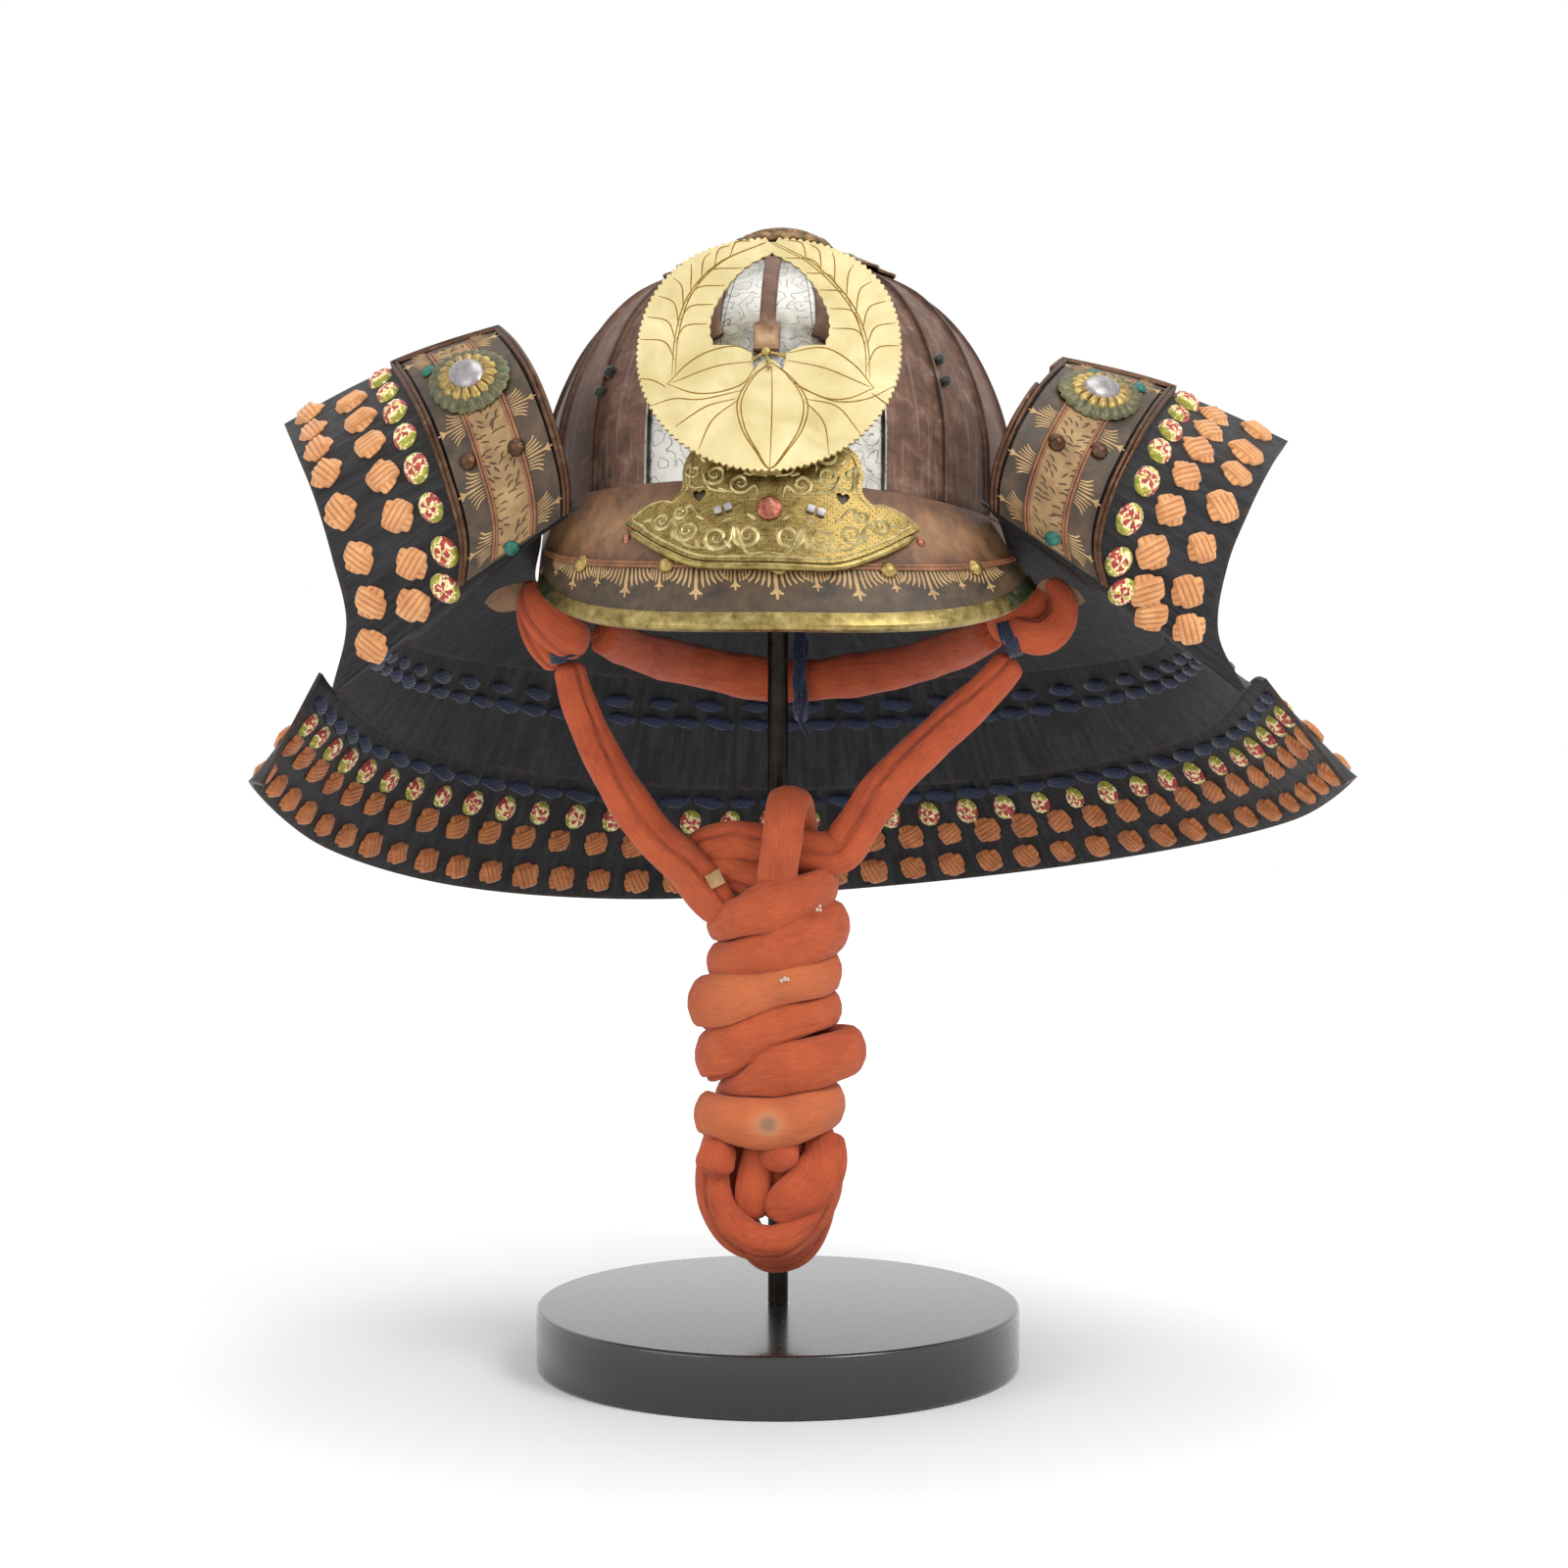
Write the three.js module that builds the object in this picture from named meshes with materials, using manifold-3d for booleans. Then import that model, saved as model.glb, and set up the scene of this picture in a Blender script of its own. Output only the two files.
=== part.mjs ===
// Samurai helmet (kabuto) on a plain display stand.
// Millimetres, +Z up, front towards -Y.  Origin: centre of the disc's underside.
import * as THREE from 'three';
import Module from 'manifold-3d';

const wasm = await Module();
wasm.setup();

// ---- stand
const DISC_R = 120;
const DISC_H = 31;
const DISC_BEVEL = 1.5;
const ROD_R = 5;
const ROD_TOP = 522;
const CAP_R = 14;
const CAP_H = 16;

// ---- where the helmet sits on the rod
const TILT = 14;          // degrees, leaning back
const SEAT_Z = 410.4;     // centre of the bowl's base above the floor

// ---- bowl
const BOWL_A = 114;       // half width of the base
const BOWL_B = 128;       // half length of the base
const BOWL_PROFILE = [
  [114, 0.4], [114, 18], [113.4, 36], [110.4, 52], [104, 71], [94.5, 90],
  [82, 106], [69, 117], [54, 126], [42, 132], [30, 137], [18, 141],
];
const PLATE_TH = 1.6;
const RIDGE_H = 2.4;
const RIDGE_W = 1.8;
const FIRST_SEAM = 12;    // degrees either side of the front
const SEAM_STEP = 17.333;
const SEAMS = 10;
const GAP = 0.3;

// ---- base band, crown
const BAND_H = 22;
const RING_R = 26.5;
const COLLAR_R = 57;
const FLUTES = 20;

// ---- peak
const PEAK_SPAN = 60;
const PEAK_TH = 1.6;
const RIM_H = 7;

// ---- crest and its holder
const HOLDER_AT = [4, -143, -10];
const HOLDER_LEAN = 16;
const HOLDER_ROLL = -1.3;
const HOLDER_TH = 1.6;
const HOLDER_BEND_R = 105;
const CREST_AT = [2, -133, 61];
const CREST_LEAN = 15;
const CREST_R = 61;
const CREST_TH = 1.6;
const CREST_TEETH = 116;

// ---- neck guard: half widths left and right, half length, heights
const LAME_TH = 2;
const EDGE_1 = { l: 179, r: 189, b: 180, rear: -38, side: -13, lean: 1.5, roll: 0 };
const EDGE_2 = { l: 216, r: 230, b: 222, rear: -90, side: 16, lean: 3, roll: 1 };
const EDGE_3 = { l: 257, r: 281, b: 262, rear: -140.5, side: 22, lean: 2.5, roll: 9.5 };

// ---- turn-backs: control points of the inner and outer edges, fold to top
const TURN_TH = 2;
const TURN_LEFT = {
  inner: [[-93, -97, -9], [-93, -108, 9], [-99, -111, 32], [-108, -101, 54], [-120, -79, 75], [-133, -50, 92]],
  outer: [[-211, -43, -83], [-202, -62, -53], [-208, -72, -24], [-217, -71, 4], [-230, -49, 31], [-243, -12, 55]],
};
const TURN_RIGHT = {
  inner: [[105, -96, -6], [106, -108, 10], [112, -111, 28], [121, -101, 46], [130, -79, 62], [138, -50, 76]],
  outer: [[227, -43, -83], [212, -62, -57], [216, -72, -26], [226, -69, 0], [237, -47, 25], [248, -12, 47]],
};
const PANEL_FROM = 0.035;
const PANEL_TO = 0.42;
const ROSETTE_R = 21;

// ---- silk chin cord
const CORD_R = 10;
const HANK_TURNS = 6;

const rad = (degrees) => degrees * Math.PI / 180;
const mix = (a, b, t) => a + (b - a) * t;
const vec = (p) => new THREE.Vector3(p[0], p[1], p[2]);

const helmetFrame = new THREE.Matrix4().makeRotationX(rad(-TILT));
helmetFrame.setPosition(0, 0, SEAT_Z);

const materials = {
  black: new THREE.MeshStandardMaterial({ color: 0x17171a, roughness: 0.35 }),
  steel: new THREE.MeshStandardMaterial({ color: 0x3a3a3a, roughness: 0.4, metalness: 0.8 }),
  iron: new THREE.MeshStandardMaterial({ color: 0x5a4038, roughness: 0.6, metalness: 0.5 }),
  silver: new THREE.MeshStandardMaterial({ color: 0xb9bcc0, roughness: 0.4, metalness: 0.8 }),
  brass: new THREE.MeshStandardMaterial({ color: 0x9a8148, roughness: 0.4, metalness: 0.8 }),
  gold: new THREE.MeshStandardMaterial({ color: 0xe3c768, roughness: 0.3, metalness: 0.8 }),
  copper: new THREE.MeshStandardMaterial({ color: 0x8a5a48, roughness: 0.5, metalness: 0.7 }),
  leather: new THREE.MeshStandardMaterial({ color: 0x6b5138, roughness: 0.7 }),
  silk: new THREE.MeshStandardMaterial({ color: 0xc4532c, roughness: 0.8 }),
  navy: new THREE.MeshStandardMaterial({ color: 0x1c2747, roughness: 0.8 }),
};

const group = new THREE.Group();

function add(name, geometry, material, onHelmet = false) {
  if (onHelmet) {
    geometry.applyMatrix4(helmetFrame);
  }
  const mesh = new THREE.Mesh(geometry, material);
  mesh.name = name;
  group.add(mesh);
}

// a closed body from points and triangles, turned outward
function body(points, faces) {
  let volume = 0;
  for (const [a, b, c] of faces) {
    volume += points[a].dot(points[b].clone().cross(points[c]));
  }
  const index = [];
  for (const [a, b, c] of faces) {
    index.push(a, volume > 0 ? b : c, volume > 0 ? c : b);
  }
  const geometry = new THREE.BufferGeometry();
  geometry.setFromPoints(points);
  geometry.setIndex(index);
  return geometry;
}

// sections with the same count of points, joined one to the next
function loft(sections, closed = false) {
  const m = sections[0].length;
  const n = sections.length;
  const points = sections.flat();
  const faces = [];
  const last = closed ? n : n - 1;
  for (let i = 0; i < last; i += 1) {
    const next = (i + 1) % n;
    for (let j = 0; j < m; j += 1) {
      const k = (j + 1) % m;
      const [a, b, c, d] = [i * m + j, next * m + j, next * m + k, i * m + k];
      faces.push([a, b, c], [a, c, d]);
    }
  }
  if (!closed) {
    capEnd(points, faces, sections[0], 0, true);
    capEnd(points, faces, sections[n - 1], (n - 1) * m, false);
  }
  return body(points, faces);
}

// an end is closed with a triangulated polygon in its own mean plane
function capEnd(points, faces, section, start, flip) {
  const normal = new THREE.Vector3();
  for (let j = 0; j < section.length; j += 1) {
    normal.add(section[j].clone().cross(section[(j + 1) % section.length]));
  }
  normal.normalize();
  const u = new THREE.Vector3().subVectors(section[1], section[0]);
  u.addScaledVector(normal, -u.dot(normal)).normalize();
  const v = normal.clone().cross(u);
  const flat = section.map((p) => new THREE.Vector2(p.dot(u), p.dot(v)));
  for (const [a, b, c] of THREE.ShapeUtils.triangulateShape(flat, [])) {
    faces.push(flip ? [start + a, start + b, start + c] : [start + a, start + c, start + b]);
  }
}

// a sheet: surface(u, v, offset) between two offsets, closed round its edges
function sheet(surface, nu, nv, near, far) {
  const sections = [];
  for (let i = 0; i <= nu; i += 1) {
    const ring = [];
    for (let j = 0; j <= nv; j += 1) {
      ring.push(surface(i / nu, j / nv, near));
    }
    for (let j = nv; j >= 0; j -= 1) {
      ring.push(surface(i / nu, j / nv, far));
    }
    sections.push(ring);
  }
  const points = sections.flat();
  const m = 2 * nv + 2;
  const faces = [];
  for (let i = 0; i < nu; i += 1) {
    for (let j = 0; j < m; j += 1) {
      const k = (j + 1) % m;
      const [a, b, c, d] = [i * m + j, (i + 1) * m + j, (i + 1) * m + k, i * m + k];
      faces.push([a, b, c], [a, c, d]);
    }
  }
  for (const [start, flip] of [[0, true], [nu * m, false]]) {
    for (let j = 0; j < nv; j += 1) {
      const [a, b, c, d] = [start + j, start + j + 1, start + m - 2 - j, start + m - 1 - j];
      faces.push(flip ? [a, b, c] : [a, c, b], flip ? [a, c, d] : [a, d, c]);
    }
  }
  return body(points, faces);
}

// offset a surface(u, v) along its normal
function thick(surface, side = 1) {
  const e = 0.004;
  return (u, v, offset) => {
    const p = surface(u, v);
    const du = surface(Math.min(u + e, 1), v).sub(surface(Math.max(u - e, 0), v));
    const dv = surface(u, Math.min(v + e, 1)).sub(surface(u, Math.max(v - e, 0)));
    return p.addScaledVector(du.cross(dv).normalize(), side * offset);
  };
}

// a round bar along a list of points
function bar(points, radius, sides, steps, closed = false) {
  const path = new THREE.CatmullRomCurve3(points.map(vec), closed, 'centripetal');
  const circle = new THREE.Shape();
  for (let i = 0; i < sides; i += 1) {
    const a = 2 * Math.PI * i / sides;
    const [x, y] = [radius * Math.cos(a), radius * Math.sin(a)];
    if (i === 0) {
      circle.moveTo(x, y);
    } else {
      circle.lineTo(x, y);
    }
  }
  return new THREE.ExtrudeGeometry(circle, { steps, extrudePath: path, bevelEnabled: false });
}

// a round bar through stations [point, point one millimetre off the surface]
function rail(stations, radius, sides) {
  const sections = stations.map(([p, lifted], i) => {
    const before = stations[Math.max(i - 1, 0)][0];
    const after = stations[Math.min(i + 1, stations.length - 1)][0];
    const along = new THREE.Vector3().subVectors(after, before).normalize();
    const side = along.clone().cross(lifted.clone().sub(p)).normalize();
    const up = side.clone().cross(along);
    const ring = [];
    for (let j = 0; j < sides; j += 1) {
      const a = 2 * Math.PI * j / sides;
      ring.push(p.clone().addScaledVector(side, radius * Math.cos(a)).addScaledVector(up, radius * Math.sin(a)));
    }
    return ring;
  });
  return loft(sections);
}

function turned(profile, segments) {
  const geometry = new THREE.LatheGeometry(profile.map(([r, z]) => new THREE.Vector2(r, z)), segments);
  geometry.rotateX(Math.PI / 2);
  return geometry;
}

function ellipsoid(at, radii, segments) {
  const geometry = new THREE.SphereGeometry(1, segments, Math.round(segments * 0.6));
  geometry.scale(radii[0], radii[1], radii[2]);
  geometry.translate(at[0], at[1], at[2]);
  return geometry;
}

// value of a list of [x, y] pairs at x
function along(list, x) {
  for (let i = 1; i < list.length; i += 1) {
    if (x <= list[i][0]) {
      const [a, b] = [list[i - 1], list[i]];
      return mix(a[1], b[1], (x - a[0]) / (b[0] - a[0]));
    }
  }
  return list[list.length - 1][1];
}

// ---------------------------------------------------------------- stand
add('base_disc', turned([
  [0, 0], [DISC_R - DISC_BEVEL, 0], [DISC_R, DISC_BEVEL],
  [DISC_R, DISC_H - DISC_BEVEL], [DISC_R - DISC_BEVEL, DISC_H], [0, DISC_H],
], 48), materials.black);
add('stand_rod', turned([
  [0, DISC_H + GAP], [ROD_R, DISC_H + GAP], [ROD_R, ROD_TOP], [0, ROD_TOP],
], 16), materials.steel);
add('stand_cap', turned([
  [0, ROD_TOP + GAP], [CAP_R, ROD_TOP + GAP], [CAP_R, ROD_TOP + 6],
  [CAP_R * 0.7, ROD_TOP + CAP_H * 0.8], [0, ROD_TOP + CAP_H],
], 20), materials.black);

// ---------------------------------------------------------------- bowl
const profile = new THREE.CatmullRomCurve3(
  BOWL_PROFILE.map(([r, z]) => new THREE.Vector3(r, 0, z)), false, 'centripetal');

// a point of the bowl: s 0 base to 1 crown, angle from the front, offset out
function bowl(s, angle, offset) {
  const p = profile.getPoint(s);
  const t = profile.getTangent(s);
  const out = offset * t.z;
  return new THREE.Vector3(
    (p.x + out) * Math.sin(angle),
    -(p.x * BOWL_B / BOWL_A + out) * Math.cos(angle),
    p.z - offset * t.x);
}

// the s at which the profile has radius r (on the narrowing part)
function bowlAt(r) {
  let [low, high] = [0, 1];
  for (let i = 0; i < 30; i += 1) {
    const middle = (low + high) / 2;
    if (profile.getPoint(middle).x > r) {
      low = middle;
    } else {
      high = middle;
    }
  }
  return low;
}

function bowlPlate(from, to, ridges) {
  const stations = 6;
  const sections = [];
  for (let i = 0; i <= stations; i += 1) {
    const s = i / stations;
    const r = profile.getPoint(s).x;
    const slack = GAP / 2 / r;
    const wide = RIDGE_W / r;
    const lift = RIDGE_H * Math.min(1, Math.max(0.15, (r - 45) / 30));
    const [a, b] = [rad(from) + slack, rad(to) - slack];
    const ring = [];
    if (ridges[0]) {
      ring.push(bowl(s, a, lift), bowl(s, a + wide, lift), bowl(s, a + wide, 0));
    } else {
      ring.push(bowl(s, a, 0));
    }
    ring.push(bowl(s, mix(a, b, 0.5), 0));
    if (ridges[1]) {
      ring.push(bowl(s, b - wide, 0), bowl(s, b - wide, lift), bowl(s, b, lift));
    } else {
      ring.push(bowl(s, b, 0));
    }
    ring.push(bowl(s, b, -PLATE_TH), bowl(s, mix(a, b, 0.5), -PLATE_TH), bowl(s, a, -PLATE_TH));
    sections.push(ring);
  }
  return loft(sections);
}

// plate 1 is the front one; 2 to 10 go round by the right, 11 is the rear one
const plates = [[-FIRST_SEAM, FIRST_SEAM, [false, false]]];
for (let i = 0; i < SEAMS - 1; i += 1) {
  const from = FIRST_SEAM + i * SEAM_STEP;
  plates.push([from, from + SEAM_STEP, [false, true]]);
}
plates.push([FIRST_SEAM + 9 * SEAM_STEP, 360 - FIRST_SEAM - 9 * SEAM_STEP, [false, false]]);
for (let i = SEAMS - 2; i >= 0; i -= 1) {
  const from = FIRST_SEAM + i * SEAM_STEP;
  plates.push([-from - SEAM_STEP, -from, [true, false]]);
}
plates.forEach(([from, to, ridges], i) => {
  const silvered = i === 0 || i === 1 || i === plates.length - 1;
  const name = `bowl_plate_${String(i + 1).padStart(2, '0')}`;
  add(name, bowlPlate(from, to, ridges), silvered ? materials.silver : materials.iron, true);
});

// ---------------------------------------------------------------- base band
function roundBowl(n, section) {
  const sections = [];
  for (let i = 0; i < n; i += 1) {
    sections.push(section(2 * Math.PI * i / n));
  }
  return loft(sections, true);
}
function plan(angle, offset, z) {
  return new THREE.Vector3((BOWL_A + offset) * Math.sin(angle), -(BOWL_B + offset) * Math.cos(angle), z);
}
add('base_band', roundBowl(40, (a) => [
  plan(a, -2, -GAP), plan(a, 0, -GAP), plan(a, 2.4, -BAND_H), plan(a, 0.4, -BAND_H),
]), materials.iron, true);

// ---------------------------------------------------------------- crown
add('crown_ring', roundBowl(24, (a) => [
  [8, 143.5], [RING_R - 1, 143.5], [RING_R, 146], [23, 150], [16, 153.6], [10, 154.5], [8, 152],
].map(([r, z]) => new THREE.Vector3(r * Math.sin(a), -r * Math.cos(a), z))), materials.iron, true);

const COLLAR_STOPS = [22, 36, 46, COLLAR_R];
add('crown_collar', roundBowl(FLUTES * 2, (a) => {
  const wave = 0.8 * Math.cos(FLUTES * a);
  const top = COLLAR_STOPS.map((r, k) => bowl(bowlAt(r), a, 3.6 + (k > 1 ? wave : 0)));
  const under = COLLAR_STOPS.map((r, k) => bowl(bowlAt(r), a, 2.2 + (k > 1 ? wave : 0)));
  return [...top, ...under.reverse()];
}), materials.brass, true);

// ---------------------------------------------------------------- strips over the front
// a strip up the bowl, half width given by height, centred on an angle
function strip(centre, from, to, half, stations) {
  const sections = [];
  for (let i = 0; i <= stations; i += 1) {
    const s = mix(from, to, i / stations);
    const p = profile.getPoint(s);
    const [left, right] = half(p.z);
    const around = p.x * BOWL_B / BOWL_A;
    const [a, b] = [rad(centre) - left / around, rad(centre) + right / around];
    const middle = (a + b) / 2;
    sections.push([
      bowl(s, a, 0.4), bowl(s, a, 2), bowl(s, middle, 2.4), bowl(s, b, 2),
      bowl(s, b, 0.4), bowl(s, middle, 0.4),
    ]);
  }
  return loft(sections);
}
const stripTop = bowlAt(61);
add('front_strip_centre', strip(0, 0.33, stripTop, (z) => (z < 88 ? [6.9, 6.9] : [4.1, 4.1]), 9),
  materials.iron, true);
const shoulder = (z) => along([[0, 0.8], [74, 0.8], [80, 9.5], [86, 6.2], [100, 5], [200, 4.4]], z);
add('front_strip_right', strip(17, 0.33, stripTop, (z) => [shoulder(z), Math.min(shoulder(z), 5)], 10),
  materials.iron, true);
add('front_strip_left', strip(-17, 0.33, stripTop, (z) => [Math.min(shoulder(z), 5), shoulder(z)], 10),
  materials.iron, true);

// ---------------------------------------------------------------- peak
// where the peak leaves the bowl
function peakJoint(angle) {
  return new THREE.Vector3(118.8 * Math.sin(angle), -132.8 * Math.cos(angle), 1 - 3.4 * Math.sin(angle));
}
// its free edge
function peakEdge(angle) {
  const wide = angle * 1.25;
  const end = Math.abs(wide) / rad(75);
  return new THREE.Vector3(8.5 + 121 * Math.sin(wide), -45 - 112 * Math.cos(wide), -72 + 34 * end ** 2.6);
}
function peakSurface(u, v) {
  const angle = rad(mix(-PEAK_SPAN, PEAK_SPAN, u));
  return peakJoint(angle).lerp(peakEdge(angle), v);
}
const peakLeaf = thick(peakSurface, -1);
const peakNormal = (u) => peakLeaf(u, 1, 1).sub(peakLeaf(u, 1, 0));
add('peak', sheet((u, v, off) => peakLeaf(u, v * 0.984, off), 24, 2, 0, -PEAK_TH), materials.leather, true);

// brass round the edge: a hook seen in section, [down, out]
const RIM_HOOK = [
  [-RIM_H, 0.35], [-RIM_H, 1.5], [0, 1.7], [1.4, 0], [1.4, -2.6],
  [-4, -3.2], [-4, -2], [-0.6, -2], [-0.6, 0.35],
];
const rimSections = [];
for (let i = 0; i <= 24; i += 1) {
  const u = i / 24;
  const down = peakSurface(u, 1).sub(peakSurface(u, 0)).normalize();
  const out = peakNormal(u);
  rimSections.push(RIM_HOOK.map(([a, b]) =>
    peakSurface(u, 1).addScaledVector(down, a).addScaledVector(out, b)));
}
add('peak_rim', loft(rimSections), materials.brass, true);

// ---------------------------------------------------------------- crest holder
// a leaning plane: x to the right, h up it, off in front of it
function leaning(at, lean, roll) {
  const tilt = new THREE.Matrix4().makeRotationX(rad(-lean));
  const turn = new THREE.Matrix4().makeRotationY(rad(-roll));
  const place = new THREE.Matrix4().makeTranslation(at[0], at[1], at[2]);
  const all = place.multiply(tilt).multiply(turn);
  return (x, h, off) => new THREE.Vector3(x, -off, h).applyMatrix4(all);
}
const holderPlane = leaning(HOLDER_AT, HOLDER_LEAN, HOLDER_ROLL);
const holder = (x, h, off) => holderPlane(x, h, off - x * x / (2 * HOLDER_BEND_R));

// half outlines: distance from the middle, height
const HOLDER_TOP = [
  [0, 33], [10, 35], [20, 31], [30, 33], [38, 28], [41.5, 20], [42, 8],
  [48, 2.5], [54, 4.5], [61, 3], [68, -1.2],
];
const HOLDER_BOTTOM = [[0, -32], [16, -31.6], [33, -29], [51, -18], [68, -2.8]];
const HOLDER_COLUMNS = [0, 5, 10, 15, 20, 25, 30, 34, 38, 41.5, 42, 45, 48, 51, 54, 58, 61, 65, 68];

function toManifold(geometry) {
  const positions = new Float32Array(geometry.attributes.position.array);
  const triangles = new Uint32Array(geometry.index.array);
  return new wasm.Manifold(new wasm.Mesh({ numProp: 3, vertProperties: positions, triVerts: triangles }));
}
function fromManifold(solid) {
  const mesh = solid.getMesh();
  const geometry = new THREE.BufferGeometry();
  geometry.setAttribute('position', new THREE.BufferAttribute(Float32Array.from(mesh.vertProperties), 3));
  geometry.setIndex(Array.from(mesh.triVerts));
  return geometry;
}
const columns = [...HOLDER_COLUMNS.slice(1).reverse().map((x) => -x), ...HOLDER_COLUMNS];
const holderSections = columns.map((x) => {
  const [low, high] = [along(HOLDER_BOTTOM, Math.abs(x)), along(HOLDER_TOP, Math.abs(x))];
  return [[low, 0], [high, 0], [high, -HOLDER_TH], [low, -HOLDER_TH]].map(([h, off]) => holder(x, h, off));
});
// a small heart, point down, cut through the holder
const HEART = [[0, -3.6], [2.6, -0.6], [2.9, 1.6], [1.5, 2.6], [0, 1.4], [-1.5, 2.6], [-2.9, 1.6], [-2.6, -0.6]];
let holderSolid = toManifold(loft(holderSections));
for (const side of [-1, 1]) {
  const near = HEART.map(([x, h]) => holderPlane(side * 33 + x, 4 + h, 8));
  const deep = HEART.map(([x, h]) => holderPlane(side * 33 + x, 4 + h, -20));
  holderSolid = holderSolid.subtract(toManifold(loft([near, deep])));
}
add('crest_holder', fromManifold(holderSolid), materials.brass, true);

const holderRim = [];
for (let x = -67; x <= 67; x += 67 / 11) {
  const h = along(HOLDER_BOTTOM, Math.abs(x)) - 2.9;
  holderRim.push([holder(x, h, -0.6), holder(x, h, 0.4)]);
}
add('crest_holder_rim', rail(holderRim, 1.9, 8), materials.brass, true);

// turned bodies standing off a surface: place(x, h, off), h up the surface
function onSurface(place, list, segments) {
  const sections = list.map(([r, off]) => {
    const ring = [];
    for (let i = 0; i < segments; i += 1) {
      const a = 2 * Math.PI * i / segments;
      ring.push(place(r * Math.cos(a), r * Math.sin(a), off));
    }
    return ring;
  });
  return loft(sections);
}
add('crest_holder_rivet', onSurface((x, h, off) => holder(x, h - 5, off), [
  [6.1, 0.4], [6.1, 1.2], [4.8, 2.2], [2, 2.7],
], 18), materials.copper, true);

// ---------------------------------------------------------------- crest
const crestPlane = leaning(CREST_AT, CREST_LEAN, 0);
function crestOutline() {
  const points = [];
  for (let i = 0; i < CREST_TEETH * 2; i += 1) {
    const a = Math.PI * (i + 0.5) / CREST_TEETH + Math.PI / 2;
    const full = Math.sin(a) > 0 ? 2.4 * Math.sin(2 * a) ** 2 : 0;
    const notch = 3 * Math.max(0, 1 - Math.abs(a - Math.PI / 2) / 0.05, 1 - Math.abs(a - 2.5 * Math.PI) / 0.05);
    const r = CREST_R + full - notch + (i % 2 ? 0.45 : -0.45);
    points.push(new THREE.Vector2(r * Math.cos(a), r * Math.sin(a)));
  }
  return points;
}
// the leaf side of the opening, tip to petal, then the petals, right half
const OPENING_LEAF = [[0, 53.2], [12, 45.5], [21.5, 33.5], [27, 21], [27.8, 11], [26, 4.2]];
const OPENING_PETALS = [[15.5, 3.6], [8, 0], [7.4, -5], [6.6, -9.8], [4.2, -5.2], [0, -2.6]];
function crestOpening() {
  const leaf = new THREE.SplineCurve(OPENING_LEAF.map(([x, y]) => new THREE.Vector2(x, y)));
  const half = [];
  for (let i = 0; i < 24; i += 1) {
    const p = leaf.getPoint(i / 24);
    const t = leaf.getTangent(i / 24);
    const tooth = i === 0 ? 0 : (i % 2 ? 0.35 : -0.35);
    half.push(new THREE.Vector2(p.x - t.y * tooth, p.y + t.x * tooth));
  }
  for (const [x, y] of [OPENING_LEAF[5], ...OPENING_PETALS]) {
    half.push(new THREE.Vector2(x, y));
  }
  const mirrored = half.slice(1, -1).reverse().map((p) => new THREE.Vector2(-p.x, p.y));
  return [...half, ...mirrored];
}
const crestShape = new THREE.Shape(crestOutline());
crestShape.holes.push(new THREE.Path(crestOpening()));
const crestGeometry = new THREE.ExtrudeGeometry(crestShape, { depth: CREST_TH, bevelEnabled: false, steps: 1 });
const crestPoints = crestGeometry.attributes.position;
for (let i = 0; i < crestPoints.count; i += 1) {
  const p = crestPlane(crestPoints.getX(i), crestPoints.getY(i), crestPoints.getZ(i) - CREST_TH);
  crestPoints.setXYZ(i, p.x, p.y, p.z);
}
add('crest', crestGeometry, materials.gold, true);

// the tang behind the crest, standing on the holder
const tang = [-7, 7].map((x) => [
  crestPlane(x, -16, -CREST_TH - 0.5), crestPlane(x, -55, -CREST_TH - 0.5),
  holder(0, 12, 0.5).setX(CREST_AT[0] + x), holder(0, 24, 0.5).setX(CREST_AT[0] + x),
  crestPlane(x, -36, -CREST_TH - 3), crestPlane(x, -16, -CREST_TH - 3),
]);
add('crest_tang', loft(tang), materials.brass, true);

// ---------------------------------------------------------------- neck guard
// an edge of a lame, u 0 left front to 1 right front, by way of the rear;
// the front ends run on to the given points
function lameEdge(edge, out, lift, left, right) {
  const points = [...left.map(vec)];
  for (let i = 0; i <= 8; i += 1) {
    const t = i / 4 - 1;
    const a = rad(90 * t);
    const half = (t < 0 ? edge.l : edge.r) + out;
    const z = edge.rear + lift + edge.side * Math.abs(t) ** 2.4 + edge.lean * t + edge.roll * Math.sin(Math.PI * t);
    points.push(new THREE.Vector3(half * Math.sin(a), (edge.b + out) * Math.cos(a), z));
  }
  points.push(...right.map(vec));
  return new THREE.CatmullRomCurve3(points, false, 'centripetal');
}
function lame(upper, lower) {
  const surface = (u, v) => upper.getPoint(u).lerp(lower.getPoint(u), v);
  return sheet(thick(surface, -1), 40, 1, 0, LAME_TH);
}
const TOP_1 = { l: 119, r: 119, b: 133, rear: -19, side: 0, lean: 0, roll: 0 };
add('neck_lame_1', lame(
  lameEdge(TOP_1, 0, 0, [[-97, -91, -4], [-108, -64, 4], [-114, -32, -8]], [[113, -32, -8], [108, -62, 1], [105, -91, -3]]),
  lameEdge(EDGE_1, 0, 0, [[-170, -56, -59], [-177, -30, -58]], [[188, -30, -50], [180, -56, -54]]),
), materials.black, true);
add('neck_lame_2', lame(
  lameEdge(EDGE_1, 2.8, 4, [[-174, -53, -58], [-180.5, -30, -54]], [[191.5, -30, -46], [184, -53, -52]]),
  lameEdge(EDGE_2, 0, 0, [[-208, -40, -80], [-213, -20, -78]], [[229, -20, -75], [224, -40, -80]]),
), materials.black, true);
add('neck_lame_3', lame(
  lameEdge(EDGE_2, 3, 4, [[-222, -14, -69]], [[237, -13, -70]]),
  lameEdge(EDGE_3, 0, 0, [[-249, -15, -124]], [[275, -15, -121]]),
), materials.black, true);

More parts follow.
